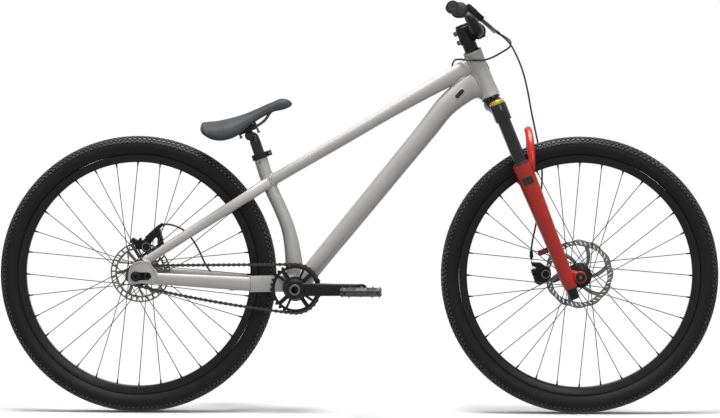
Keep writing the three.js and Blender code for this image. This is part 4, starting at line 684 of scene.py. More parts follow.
def effect(name: str, output: str, **inputs: object) -> Callable[[Build], Callable[[], bpy.types.NodeTree]]:
    """Turn a function that adds nodes into one that gives a shared effect, a node group made once.

    Args:
        name: The group's name.
        output: Name of its output.
        **inputs: Its named inputs with their defaults.

    Returns:
        The decorator.
    """
    def decorate(build: Build) -> Callable[[], bpy.types.NodeTree]:
        """Wrap the function that adds the nodes."""
        def group() -> bpy.types.NodeTree:
            """Make the node group, or return it where it is there already."""
            if name in bpy.data.node_groups:
                return bpy.data.node_groups[name]
            tree = bpy.data.node_groups.new(name, "ShaderNodeTree")
            for key, value in inputs.items():
                kind = {4: "Color", 3: "Vector"}[len(value)] if isinstance(value, tuple) else "Float"
                entry = tree.interface.new_socket(key, in_out="INPUT", socket_type=f"NodeSocket{kind}")
                entry.default_value = value
            kind = "Color" if output == "Color" else "Float"
            tree.interface.new_socket(output, in_out="OUTPUT", socket_type=f"NodeSocket{kind}")
            graph = Graph(tree)
            given = graph.add("NodeGroupInput").outputs
            graph.add("NodeGroupOutput", {output: build(graph, given)})
            return tree
        return group
    return decorate


@effect("tone_drift", "Color", Base=(0.5, 0.5, 0.5, 1), Second=(0.4, 0.4, 0.4, 1), Scale=8.0, Amount=1.0)
def tone_drift(graph: Graph, given: dict[str, Socket]) -> Socket:
    """Slow drift between two colours over the surface."""
    broad = graph.noise(graph.spot(), given["Scale"], 4)
    share = graph.math("MULTIPLY", graph.span(broad, 0.3, 0.7), given["Amount"], clamp=True)
    return graph.mix(share, given["Base"], given["Second"])


@effect("surface_grain", "Value", Vector=(0.0, 0.0, 0.0), Scale=400.0)
def surface_grain(graph: Graph, given: dict[str, Socket]) -> Socket:
    """Fine grain for roughness and bump, from 0 to 1."""
    coarse = graph.noise(given["Vector"], given["Scale"], 5)
    fine = graph.noise(given["Vector"], graph.math("MULTIPLY", given["Scale"], 3.7), 2)
    return graph.math("MULTIPLY_ADD", fine, 0.35, graph.math("MULTIPLY", coarse, 0.65))


@effect("edge_wear_and_highlight", "Mask", Amount=0.3)
def edge_wear_and_highlight(graph: Graph, given: dict[str, Socket]) -> Socket:
    """Mask of edges where the finish has rubbed off; on the tyre tread and the pedals the same mask also
    paints a pale highlight.
    """
    edge = graph.span(graph.add("ShaderNodeNewGeometry").outputs["Pointiness"], 0.52, 0.62)
    return graph.product(edge, graph.span(graph.noise(graph.spot(), 260.0, 4), 0.42, 0.66), given["Amount"])


@effect("settled_dust", "Mask", Amount=0.1)
def settled_dust(graph: Graph, given: dict[str, Socket]) -> Socket:
    """Mask of dust that lies on faces that look up."""
    normal = graph.add("ShaderNodeNewGeometry").outputs["Normal"]
    upward = graph.span(graph.add("ShaderNodeSeparateXYZ", {0: normal}).outputs["Z"], -0.2, 1, 0.25, 1)
    return graph.product(upward, graph.span(graph.noise(graph.spot(), 34.0, 6), 0.35, 0.75), given["Amount"])


@dataclass(frozen=True)
class Finish:
    """One surface finish, made as a procedural node material."""

    name: str
    slot: str
    base: Colour
    second: Colour
    roughness: float
    metallic: float = 0
    spread: float = 0.12
    grain: float = 420
    stretch: Colour = (1, 1, 1)
    pattern: Pattern = Pattern.PLACE
    bump: float = 0.12
    coat: float = 0
    coat_roughness: float = 0.08
    sheen: float = 0
    specular: float = 0.5
    # Edge tone and its amount: rubbed-off finish, and on the tread and pedals partly a painted highlight.
    wear_and_highlight: float = 0.15
    wear_and_highlight_tone: Colour = (0.2, 0.2, 0.2)
    dust: float = 0.04
    dust_tone: Colour = (0.3, 0.27, 0.23)

    def material(self) -> bpy.types.Material:
        """Make the material, or return it where it is there already.

        Returns:
            The material.
        """
        if self.name in bpy.data.materials:
            return bpy.data.materials[self.name]
        made = bpy.data.materials.new(self.name)
        graph = Graph.emptied(made)
        laid = graph.add("ShaderNodeMapping", {"Vector": graph.spot(self.pattern), "Scale": self.stretch})
        laid = laid.outputs[0]
        grain = graph.shared(surface_grain(), Vector=laid, Scale=self.grain)
        tone = graph.shared(tone_drift(), Base=(*self.base, 1), Second=(*self.second, 1), Scale=9.0,
                            Amount=0.8)
        worn_and_highlit = graph.shared(edge_wear_and_highlight(), Amount=self.wear_and_highlight)
        dusty = graph.shared(settled_dust(), Amount=self.dust)
        streaked = graph.mix(graph.span(grain, 0.3, 0.75, 0, 0.5), tone, (*self.second, 1))
        # Edges take the edge tone: rubbed-off finish, and on the tread and pedals partly a painted highlight.
        colour = graph.mix(dusty, graph.mix(worn_and_highlit, streaked, (*self.wear_and_highlight_tone, 1)), (*self.dust_tone, 1))
        rough = graph.math("MULTIPLY_ADD", graph.math("SUBTRACT", grain, 0.5), self.spread, self.roughness)
        rough = graph.math("MULTIPLY_ADD", dusty, 0.35, rough, clamp=True)
        bump = graph.add("ShaderNodeBump", {"Strength": self.bump, "Distance": 0.0006, "Height": grain})
        bump = bump.outputs[0]
        surface = graph.add("ShaderNodeBsdfPrincipled", {
            "Base Color": colour, "Roughness": rough, "Metallic": self.metallic, "Normal": bump,
            "Coat Weight": self.coat, "Coat Roughness": self.coat_roughness, "Sheen Weight": self.sheen,
            "Specular IOR Level": self.specular})
        graph.add("ShaderNodeOutputMaterial", {"Surface": surface.outputs[0]})
        return made


BRUSHED = (0.05, 1, 1)
ALUMINIUM = Finish("brushed_aluminium", "raw_aluminium", (0.43, 0.424, 0.42), (0.39, 0.384, 0.38), 0.5, 0.3,
    spread=0.02, grain=64, stretch=BRUSHED, pattern=Pattern.LENGTHWISE, bump=0.002, wear_and_highlight=0, dust=0)
CAST_ALUMINIUM = Finish("machined_aluminium", "raw_aluminium", (0.43, 0.424, 0.42), (0.37, 0.365, 0.361),
    0.36, 0.3, spread=0.1, grain=70, bump=0.004, coat=0.05, wear_and_highlight=0.1, wear_and_highlight_tone=(0.5, 0.49, 0.48), dust=0.01)
WELD = Finish("weld_bead", "raw_aluminium", (0.42, 0.414, 0.409), (0.36, 0.355, 0.35), 0.36, 0.3, grain=200,
    bump=0.03, wear_and_highlight=0.1, wear_and_highlight_tone=(0.46, 0.45, 0.44))
SATIN_BLACK = Finish("satin_black", "black_metal", (0.007, 0.007, 0.0075), (0.011, 0.011, 0.0115), 0.32,
    specular=0.17, spread=0.16, bump=0.08, wear_and_highlight=0.12, wear_and_highlight_tone=(0.08, 0.08, 0.08), dust=0.01)
GLOSS_BLACK = Finish("gloss_black", "black_metal", (0.005, 0.005, 0.0055), (0.007, 0.007, 0.0075), 0.2,
    coat=0.3, specular=0.16, spread=0.08, grain=200, bump=0.02, wear_and_highlight=0.05, dust=0.01)
DARK_METAL = Finish("dark_metal", "black_metal", (0.03, 0.03, 0.031), (0.05, 0.05, 0.052), 0.36, 0.6,
    bump=0.1, dust=0.02)
BOLT_STEEL = Finish("bolt_steel", "steel", (0.085, 0.085, 0.085), (0.13, 0.13, 0.13), 0.32, 0.8, bump=0.06,
    dust=0.02)
RED = Finish("red_paint_gloss", "red_paint", (0.5, 0.017, 0.006), (0.42, 0.013, 0.005), 0.24, coat=0.12,
    grain=260, specular=0.3, spread=0.08, bump=0.03, wear_and_highlight=0.06, wear_and_highlight_tone=(0.5, 0.2, 0.15), dust=0.01)
GOLD = Finish("gold_anodised", "gold_metal", (0.66, 0.45, 0.02), (0.5, 0.33, 0.018), 0.3, 0.6, bump=0.05,
    dust=0.01)
SIDEWALL = Finish("tyre_sidewall", "tyre_rubber", (0.0075, 0.0068, 0.0068), (0.012, 0.011, 0.011), 0.55,
    bump=0.12, grain=700, specular=0.15, wear_and_highlight=0.1, wear_and_highlight_tone=(0.04, 0.04, 0.04), dust=0.02)
# Tread knobs get a pale edge tone: partly worn rubber, partly a painted highlight standing in for light from
# above.
TREAD = Finish("tyre_tread", "tyre_rubber", (0.014, 0.0135, 0.0135), (0.022, 0.021, 0.021), 0.45, bump=0.15,
    grain=800, specular=0.3, wear_and_highlight=0.6, wear_and_highlight_tone=(0.11, 0.11, 0.11), dust=0.03)
GRIP = Finish("grip_rubber_matt", "grip_rubber", (0.016, 0.016, 0.0165), (0.024, 0.024, 0.0245), 0.6,
    bump=0.2, grain=700, specular=0.25)
HOUSING = Finish("housing_sleeve", "housing", (0.01, 0.01, 0.011), (0.014, 0.014, 0.015), 0.34, bump=0.05,
    specular=0.22)
PLASTIC = Finish("matt_plastic", "black_plastic", (0.01, 0.01, 0.011), (0.015, 0.015, 0.016), 0.5, bump=0.16,
    grain=800, specular=0.25, dust=0.02)
# Pedal edges get a pale tone: partly rubbed edges, partly a painted highlight.
PEDAL = Finish("pedal_platform", "black_plastic", (0.03, 0.03, 0.031), (0.045, 0.045, 0.046), 0.36, 0.4,
    bump=0.1, wear_and_highlight=0.35, wear_and_highlight_tone=(0.2, 0.2, 0.2), dust=0.02)
COVER = Finish("saddle_cloth", "saddle_cover", (0.03, 0.031, 0.0345), (0.021, 0.022, 0.025), 0.6, bump=0.3,
    grain=1100, sheen=0.05, specular=0.25, wear_and_highlight=0, dust=0.02)
SPOKE = Finish("spoke_black", "steel", (0.02, 0.02, 0.021), (0.035, 0.035, 0.036), 0.34, 0.4, bump=0.03,
    wear_and_highlight=0)
DISC = Finish("disc_steel", "steel", (0.13, 0.125, 0.118), (0.19, 0.183, 0.172), 0.34, 0.7, grain=900,
    bump=0.08)
WIRE = Finish("bare_wire", "steel", (0.34, 0.33, 0.32), (0.22, 0.22, 0.21), 0.3, 0.8, grain=1500, bump=0.1)
CHAIN = Finish("chain_plate", "chain_steel", (0.05, 0.045, 0.04), (0.028, 0.026, 0.024), 0.3, 0.6, bump=0.1,
    wear_and_highlight_tone=(0.25, 0.22, 0.19))
BLANK_LABEL = Finish("blank_label", "black_plastic", (0.01, 0.01, 0.011), (0.015, 0.015, 0.016), 0.42,
    bump=0.02, specular=0.3)


def dress(name: str, parts: Object | Sequence[Object], look: Finish, body: str, *replaced: str,
          angle: float = 38, ride: bool = True) -> Object:
    """Join the parts of a finished piece, give it its finish, attach it to the body it moves with and hide
    the CAD nodes it stands for.

    Args:
        name: The piece's name.
        parts: Its parts, or the one object that it is.
        look: Its finish.
        body: The body it rides on.
        *replaced: CAD nodes that it stands for.
        angle: Edges flatter than this are shaded smooth, in degrees.
        ride: Whether it is attached to its body to ride with it.

    Returns:
        The piece.
    """
    piece = parts if isinstance(parts, Object) else join(*parts)
    piece.name = piece.data.name = name
    piece.data.materials.clear()
    piece.data.materials.append(look.material())
    choose(piece)
    bpy.ops.object.shade_smooth_by_angle(angle=radians(angle))
    if ride:
        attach(piece, body)
    if replaced:
        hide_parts(*replaced)
    LOG.info("%s: %d faces", piece.name, len(piece.data.polygons))
    return piece


# Wheels


@dataclass
class Wheel:
    """One wheel: tyre, rim, spokes, hub and brake disc, about its axle."""
    name: str
    centre: Vector
    hub_half: float
    flanges: tuple[float, float]
    boss: float
    disc_plane: float
    disc_radius: float
    bed_radius: float = 279
    block_rows: tuple[tuple[float, float, float, float, float], ...] = ((0, 342.2, 0, 5.4, 9.0),
        (6.9, 341.6, 7, 5.0, 8.0), (13.4, 339.9, 21, 5.2, 7.4), (19.1, 336.6, 42, 5.2, 7.6),
        (23.4, 332.0, 62, 5.0, 6.6))
    block_count: int = 176
    block_height: float = 2.7
    spokes: int = 16
    crossings: int = 3
    spoke_radius: float = 1
    flange_radius: float = 29

    @property
    def body(self) -> str:
        """Name of the wheel's body."""
        return f"{self.name}_wheel"

    def node(self, part: str) -> str:
        """Name of one of the wheel's CAD nodes."""
        return f"{self.name}_{part}"

    def round_the_axle(self, profile: Outline, steps: int = 72) -> Object:
        """Turn a profile about the axle."""
        return turned(self.centre, ACROSS, profile, steps)

    def at(self, angle: float, radius: float, across: float = 0) -> Vector:
        """Place at an angle and radius about the axle."""
        return self.centre + Vector((radius * cos(angle), across, radius * sin(angle)))

    def tyre(self) -> None:
        """Build the casing and its tread of small blocks in offset rows."""
        outer = [(299.4, 12.8), (300.2, 15.4), (302.6, 18.6), (307.5, 22.9), (313.5, 25.9), (320, 27),
            (325.5, 26.4), (327.4, 25.8), (328.2, 26.3), (329.0, 26.1), (329.6, 25.2), (333.5, 22.2),
            (337.6, 17.2), (340.4, 10)]
        inner = [(336.6, 9), (330, 18), (320, 23), (309, 20), (302, 13), (299.8, 9.5)]
        casing = self.round_the_axle(shell_profile(outer, inner), 144)
        dress(self.node("casing"), casing, SIDEWALL, self.body, self.node("tyre"), angle=50)
        blocks = []
        pitch = TURN / self.block_count
        for row, (across, radius, tilt, width, length) in enumerate(self.block_rows):
            for side in (1,) if row == 0 else (1, -1):
                angle = pitch * (0.5 if row % 2 else 0)
                lean = radians(tilt) * side
                out, ahead = heading(angle), heading(angle + TURN / 4)
                normal = out * cos(lean) + ACROSS * sin(lean)
                beside = ACROSS * cos(lean) - out * sin(lean)
                middle = self.at(angle, radius, across * side) + normal * (self.block_height / 2 - 0.6)
                blocks.append(block((ahead, beside, normal), middle, (length, width, self.block_height), 0.6,
                    1))
        tread = repeat_about(join(*blocks), self.centre, self.block_count)
        dress(self.node("tread_blocks"), tread, TREAD, self.body)

    def rim(self) -> None:
        """Build the rim and its joint."""
        half = [(298.9, 13.3), (299, 14.9), (298.2, 15.4), (295, 14.9), (290, 13), (284.5, 10.9), (281, 9.3),
            (279.3, 7.2)]
        well = [(291.5, 7.5), (296.4, 12.7)]
        rim = self.round_the_axle(shell_profile(half, well), 160)
        dress(self.node("rim_hoop"), rim, SATIN_BLACK, self.body, self.node("rim"), angle=32)
        seam = block((heading(0), ACROSS, UPRIGHT), self.at(-TURN / 4, 289), (0.7, 28.5, 13), 0.2)
        dress(self.node("rim_joint"), seam, BOLT_STEEL, self.body)

    def lace(self) -> None:
        """Build the spokes with their heads and nipples, both sides crossing three times."""
        step = TURN / self.spokes
        layer = 2 * self.spoke_radius + 0.3
        for side, flange, word in ((-1, self.flanges[0], "right"), (1, self.flanges[1], "left")):
            start = flange + 1.7 + 0.6
            rods, nipples = [], []
            for index in range(self.spokes):
                trailing = index % 2
                foot = (index + (0.5 if side > 0 else 0)) * step
                tip = foot + (-1 if trailing else 1) * step * self.crossings
                low = self.at(foot, self.flange_radius * 0.93, side * (start + self.spoke_radius + trailing
                    * layer))
                high = self.at(tip, self.bed_radius + 1, side * (1.9 + trailing * layer))
                way = (high - low).normalized()
                rods.append(rod(low - way * 1.5, high, self.spoke_radius, sides=8, edge=0))
                head = low - ACROSS * side * (self.spoke_radius * 0.4)
                rods.append(rod(head - ACROSS * side * 2.4, head + ACROSS * side * 1.6, 1.7, 1.3, 10, 0))
                nipples.append(rod(high - way * 10.5, high - way * 2.5, 1.75, 2.1, 8, 0.3))
                nipples.append(rod(high - way * 3, high + way * 0.6, 2.5, 2.9, 10, 0.3))
            dress(f"{self.name}_{word}_spoke_set", rods, SPOKE, self.body, self.node(f"{word}_spokes"),
                angle=60)
            dress(f"{self.name}_{word}_nipples", nipples, SATIN_BLACK, self.body)

    def hub(self) -> None:
        """Build the hub shell with its flanges, end caps and disc bolts."""
        right, left = self.flanges
        wide, end, barrel, step, lip = self.flange_radius, 9.4, 14, 17.4, 1.7
        mid = (left - right) / 2

        def flange(at: float) -> list[Pair]:
            """Profile of a flange's rim."""
            return [(wide - 0.8, at - lip), (wide, at - lip + 0.8), (wide, at + lip - 0.8),
                    (wide - 0.8, at + lip)]

        profile = [(end, -self.hub_half + 0.2), (end, -self.boss), (step - 1, -self.boss),
                   (step, -self.boss + 1.2), (step, -right - 6), (24, -right - lip - 0.6),
                   *flange(-right), (22, -right + lip + 1),
                   (barrel + 1.5, -right + 8), (barrel, mid - 4), (barrel, mid + 4), (barrel + 1.5, left - 8),
                   (22, left - lip - 1), *flange(left), (step, left + lip + 0.6),
                   (step, self.disc_plane + 3.4), (end, self.disc_plane + 3.6),
                   (end, self.hub_half - 0.2), (8, self.hub_half - 0.2),
                   (8, -self.hub_half + 0.2)]
        dress(self.node("hub_shell"), self.round_the_axle(profile, 64), SATIN_BLACK, self.body,
              self.node("hub"), angle=32)
        seat = self.at(0, 22, self.disc_plane)
        bolt = rod(seat - ACROSS, seat + ACROSS * 3.1, 3.3, sides=6, edge=0.3)
        dress(self.node("disc_bolts"), repeat_about(bolt, self.centre, 6), BOLT_STEEL, self.body)

    def polar(self, places: Outline) -> list[Pair]:
        """Outline of the side view from pairs of angle and radius about the axle."""
        return [(spot.x, spot.z) for spot in (self.at(*place) for place in places)]

    def wavy_disc(self) -> list[list[Pair]]:
        """Outlines of the front disc: a wavy rim, six windows between curved arms and slanted slots."""
        radius, waves, slots, sides = self.disc_radius, 12, 42, np.linspace(0, 1, 6)
        window = [*[(-0.37 - 0.05 * side, side) for side in sides], (-0.2, 1.06), (0.05, 1.08), (0.28, 1.04),
                  *[(0.42 - 0.05 * side, 1 - side) for side in sides], (0, -0.06)]
        turns = np.linspace(0, TURN, 240)[:-1]
        outlines = [self.polar([(turn, radius - 1.3 + 1.3 * cos(waves * turn)) for turn in turns])]
        outlines += [self.polar([(TURN * (index + 0.25 + share) / 6 + 0.5 * far, 25 + (radius - 41.5) * far)
                                 for share, far in window]) for index in range(6)]
        for index in range(slots):
            turn, near, far = TURN * index / slots, radius - 12.2, radius - 4.6 - index % 2 * 1.2
            outlines.append(self.polar([(turn - 0.03 - 1.5 / near, near), (turn - 0.03 + 1.5 / near, near),
                                        (turn + 0.05 + 1.5 / far, far), (turn + 0.05 - 1.5 / far, far)]))
        return outlines

    def ring_disc(self) -> list[list[Pair]]:
        """Outlines of the rear disc: two rings with slanted bars between, and windows between six arms."""
        radius = self.disc_radius
        bars = ((radius - 11.5, -0.018, 0.13), (radius - 3.2, 0.155, -0.002))
        outlines = [self.polar([(TURN * index / 30 + share, place) for place, start, end in bars
                                for share in np.linspace(start, end, 4)]) for index in range(30)]
        windows = (((-0.4, 1), (0.06, 1), (-0.34, 0)), ((0.14, 1), (0.47, 1), (0.36, 0), (-0.22, 0)))
        outlines += [self.polar([(TURN * (index + 0.25 + share) / 6 + 0.25 * far,
                                  24.5 + (radius - 39.5) * far) for share, far in window])
                     for index in range(6) for window in windows]
        return [circle(self.centre, radius, 160), *outlines]

    def disc(self) -> None:
        """Cut the brake disc."""
        rim, *holes = self.wavy_disc() if self.name == "front" else self.ring_disc()
        cut = plate([rim, circle(self.centre, 17.8, 40), *holes], self.disc_plane, 1.8, 0.25)
        dress(self.node("disc"), cut, DISC, self.body, self.node("rotor"))

    def build(self) -> None:
        """Build the whole wheel."""
        self.tyre()
        self.rim()
        self.lace()
        self.hub()
        self.disc()


# Routes of the brake housings, from the lever to the caliper


REAR_ROUTE = ((299, -170, 981), (319, -149, 964.5), (341, -122, 947), (361, -94, 935), (374, -65, 924),
    (373, -44, 912), (350, -30, 896), (327, -26.5, 884), (310, -26.5, 879), (292, -28, 878), (272, -27, 878),
    (256, -20, 880), (244, -8, 880), (236, 8, 876), (232, 20, 866), (232, 26, 850), (236, 28.5, 832),
    (243, 29, 815), (247, 26, 799), (242, 16, 785), (228, 8, 767), (170, 2, 703), (0, 2, 497), (-80, 3, 400),
    (-118, 4, 353), (-134, 6, 334.5), (-146.5, 9, 327.2), (-159, 13, 329.2), (-170, 17, 321),
    (-178, 20, 320.5), (-188, 26.5, 322), (-200, 34, 324), (-216, 37, 326), (-240, 41, 327),
    (-268, 46.5, 327), (-305, 50, 328), (-340, 53.5, 331), (-362, 56.5, 338), (-377, 59, 352),
    (-390, 63, 373), (-404, 67, 402), (-421, 69.5, 429), (-439, 69, 448), (-460, 66, 460), (-480, 63.5, 465),
    (-496, 62, 463.5), (-505, 62, 457))
FRONT_ROUTE = ((299, 170, 981), (319, 149, 964.5), (341, 130, 948), (361, 116, 934), (377, 106, 917),
    (394, 96, 886), (410, 86, 844), (421, 78, 798), (430, 72, 748), (440, 65, 700), (450, 56, 650),
    (456, 47, 605), (455, 39, 562), (448, 36, 510), (440, 38, 462), (433, 46, 426), (430.5, 56, 400),
    (431, 60, 386))


# Frame


@dataclass
class FrameSet:
    """Welded aluminium frame with its dropouts, collar and bottom bracket."""
    head_length: float = 119.5
    top_depth: tuple[float, float] = (28, 43)
    top_width: float = 34
    down_depth: tuple[float, float] = (48, 66)
    down_width: float = 46
    seat_radii: tuple[float, float] = (16.6, 21.5)
    stay_width: float = 17
    body: str = "frame"
    parts: dict[str, Object] = field(default_factory=dict)
    rings: dict[str, list[Ring]] = field(default_factory=dict)

    def lofted(self, name: str, node: str, rows: Rows, steps: int,
            sides: int = 44) -> None:
        """Roll a smooth tube through stations and keep it for the welds.

        Args:
            name: The piece's name.
            node: The CAD node that it stands for.
            rows: Stations of place, two half widths and power.
            steps: Number of rings.
            sides: Points of each ring.
        """
        self.rings[node] = sections(rows, steps, sides)
        self.parts[node] = dress(name, rolled(self.rings[node]), ALUMINIUM, self.body, node, angle=60)

    def stations(self, start: Vector, end: Vector, shares: Sequence[tuple[float, float, float, float]],
            depth: tuple[float, float], width: float, power: float) -> list[tuple[float, ...]]:
        """Stations of a tube that bows off the line between two places.

        Args:
            start: Where the tube starts.
            end: Where it ends.
            shares: Share along, share off the line, share of the depth's growth, share of the width.
            depth: Least and greatest depth.
            width: Greatest width.
            power: Power of the section's roundness.

        Returns:
            The stations.
        """
        way = end - start
        up = square_to(way)
        result = []
        for along, off, deep, wide in shares:
            place = start + way * along + up * off
            result.append((*place, width * wide / 2, (depth[0] + deep * (depth[1] - depth[0])) / 2, power))
        return result

    def tubes(self) -> None:
        """Build the head, top, down and seat tubes."""
        up = -PLACE.steer_down
        length = self.head_length
        profile = [(20.7, 0.2), (24.3, 0.2), (25.1, 1.0), (25.1, 5.0), (24.7, 6.2), (24.5, 14), (23.4, 36),
            (23.1, 62), (23.1, length - 7), (23.6, length - 6), (23.6, length - 1.2), (23.0, length - 0.2),
            (20.7, length - 0.2)]
        head = turned(PLACE.steer(0), up, profile, 80)
        self.parts["head_tube"] = dress("head_tube_body", head, ALUMINIUM, self.body, "head_tube", angle=35)
        top_seat, top_head = (PLACE.post(-74), PLACE.steer(28 - length))
        self.lofted("top_tube_body", "top_tube", self.stations(top_seat, top_head,
            ((0, 0, 0, 0.9), (0.15, 0.0008, 0.03, 0.93), (0.3, 0.001, 0.12, 0.95), (0.62, 0.003, 0.33, 1),
            (0.8, 0.002, 0.72, 1), (0.92, 0, 1, 0.98), (1, 0, 1, 0.9)), self.top_depth, self.top_width, 0.8),
            70)
        down_head = PLACE.steer(-31)
        self.lofted("down_tube_body", "down_tube", self.stations(PLACE.shell, down_head,
            ((0, -0.006, -0.24, 0.92), (0.09, 0.001, -0.24, 0.96), (0.35, 0.0181, -0.1, 1),
            (0.586, 0.0336, 0, 1), (0.7395, 0.0437, 0.1, 1), (0.8517, 0.0521, 0.28, 0.98),
            (0.909, 0.046, 0.56, 0.96), (0.962, 0.035, 0.95, 0.9), (1, 0.004, 1, 0.8)), self.down_depth,
            self.down_width, 0.85), 90, 52)
        way = PLACE.seat_top - PLACE.shell
        ahead = -square_to(way)
        low, high = self.seat_radii
        rows = [(*PLACE.shell + way * along + ahead * off, low + share * (high - low),
            low + share * (high - low), 1) for along, off, share in ((0, 0, 1), (0.18, 0.033, 0.95),
            (0.3, 0.05, 0.5), (0.43, 0.0567, 0.12), (0.58, 0.041, 0), (0.73, 0.0158, 0), (0.86, 0.004, 0),
            (1, 0, 0))]
        self.lofted("seat_tube_body", "seat_tube", rows, 70)

    def rear_triangle(self) -> None:
        """Build the shell, yoke, stays and dropouts."""
        shell, axle = PLACE.shell, PLACE.rear_axle
        self.parts["shell"] = dress("shell_body", turned(shell, ACROSS, [(19.6, -36.3), (22.5, -36.3),
            (23, -35.8), (23, 35.8), (22.5, 36.3), (19.6, 36.3)], 64), CAST_ALUMINIUM, self.body,
            "bottom_bracket_shell")
        half = [(-155.5, 32.1), (-190, 38.9), (-210.3, 42), (-229.9, 42), (-267.5, 53.2), (-267.5, 39.7),
            (-229.9, 31.6), (-210.3, 31.6), (-199.9, 22.8)]
        outline = [(x, -y) for x, y in half] + list(reversed(half))
        yoke = plate([outline], 324.52, 40, 0.4, level=True)
        soften(yoke, 3.2, 3, 50)
        self.parts["chainstay_yoke"] = dress("stay_yoke", yoke, CAST_ALUMINIUM, self.body, "chainstay_yoke")
        for side, word in SIDES:
            rows = []
            start, end = (Vector((-507.7, 0, 340.2)), Vector((-267.8, 0, 324.5)))
            for along, deep in ((0, 0.1), (0.1, 0.18), (0.2, 0.3), (0.38, 0.46), (0.55, 0.62), (0.78, 0.82),
                    (1, 1)):
                place = start.lerp(end, along)
                rows.append((place.x, side * (67.8 - 20.8 * along ** 1.2), place.z, self.stay_width / 2,
                    (27 + 8 * deep) / 2, 0.7))
            self.lofted(f"{word}_chainstay_body", f"{word}_chainstay", rows, 36)
            rows = []
            start, end = (Vector((-528.1, 0, 380)), PLACE.post(-74))
            for along, spread, deep in ((0, 0.08, 0), (0.12, 0.2, 0.08), (0.5, 0.7, 0.4), (0.75, 1, 0.8),
                    (0.88, 1.42, 1), (1, 2.15, 1)):
                place = start.lerp(end, along)
                rows.append((place.x, side * (67.8 - 25.8 * spread), place.z, self.stay_width / 2,
                    (21 + 6 * deep) / 2, 0.8))
            self.lofted(f"{word}_seatstay_body", f"{word}_seatstay", rows, 56)
            self.dropout(side, word, axle)

    def dropout(self, side: int, word: str, axle: Vector) -> None:
        """Build one dropout plate with its slot, raised rim and lip.

        Args:
            side: -1 for the drive side, 1 for the other.
            word: The side's name.
            axle: Middle of the rear axle.
        """
        shares = ((-0.25, -0.3), (0.2, -0.32), (0.62, -0.3), (0.74, -0.18), (0.74, 0.2), (0.62, 0.42),
            (0.46, 0.69), (0.28, 0.72), (0.1, 0.69), (-0.1, 0.58), (-0.23, 0.32), (-0.27, 0.08),
            (-0.27, -0.14))
        rounded = resample([(axle.x + x * 68, axle.z + z * 53, 0) for x, z in shares], 90, True)
        outline = [(row[0], row[1]) for row in rounded]

        def stadium(reach: float, radius: float) -> list[Pair]:
            """Outline of a slot of this half length and end radius."""
            x, z = axle.x + 13.26, axle.z
            return [(x + copysign(reach, cos(a)) + radius * cos(a), z + radius * sin(a))
                for a in np.linspace(0, TURN, 41)[:-1]]

        self.parts[f"{word}_dropout"] = dress(f"{word}_dropout_plate",
            plate([outline, stadium(15, 10.5)], side * 71.8, 7.8, 0.5), CAST_ALUMINIUM, self.body,
            f"{word}_dropout")
        rim = plate([stadium(15, 12.6), stadium(15, 10.3)], side * 75.4, 1.4, 0.3)
        dress(f"{word}_dropout_rim", rim, CAST_ALUMINIUM, self.body)
        inner = [(axle.x + 14 + (x - axle.x - 14) * 0.89, axle.z + 8 + (z - axle.z - 8) * 0.88) for x,
            z in outline]
        lip = plate([outline, inner], side * 75.6, 1.6, 0.5)
        dress(f"{word}_dropout_lip", lip, CAST_ALUMINIUM, self.body)

    def welds(self) -> None:
        """Lay the weld beads of every joint."""
        parts, rings = self.parts, self.rings
        seams = [("top_tube", ("head_tube", "down_tube"), False), ("down_tube", ("head_tube",), False),
            ("top_tube", ("seat_tube",), True), ("down_tube", ("shell", "seat_tube"), True),
            ("seat_tube", ("shell",), True)]
        for word in ("right", "left"):
            seams += [(f"{word}_seatstay", ("seat_tube", "top_tube"), False),
                (f"{word}_seatstay", (f"{word}_dropout",), True), (f"{word}_chainstay", ("chainstay_yoke",),
                False), (f"{word}_chainstay", (f"{word}_dropout",), True)]
        for number, (node, others, backward) in enumerate(seams):
            lines = rings[node][::-1] if backward else rings[node]
            beads = weld(lines, skin(*(parts[other] for other in others)), 3.1 if number < 5 else 2.3)
            if beads:
                dress(f"weld_{node}_{others[0]}", beads, WELD, self.body, angle=70)

    def small_parts(self) -> None:
        """Build the seat collar, bearing cups, rear axle, port plug and badge, and dark pieces that paint the
        shade of the collar's slit and the clamp slot.
        """
        up, ahead = PLACE.post_up, PLACE.post_ahead
        collar = turned(PLACE.seat_top, up, [(17.1, -12), (20.0, -12), (20.6, -11.3), (20.6, 1.1),
            (20.0, 1.7), (17.1, 1.7)], 64)
        lug = block((ahead, ACROSS, up), PLACE.post(-5.2, 24.8), (10, 15, 12.5), 2, 3)
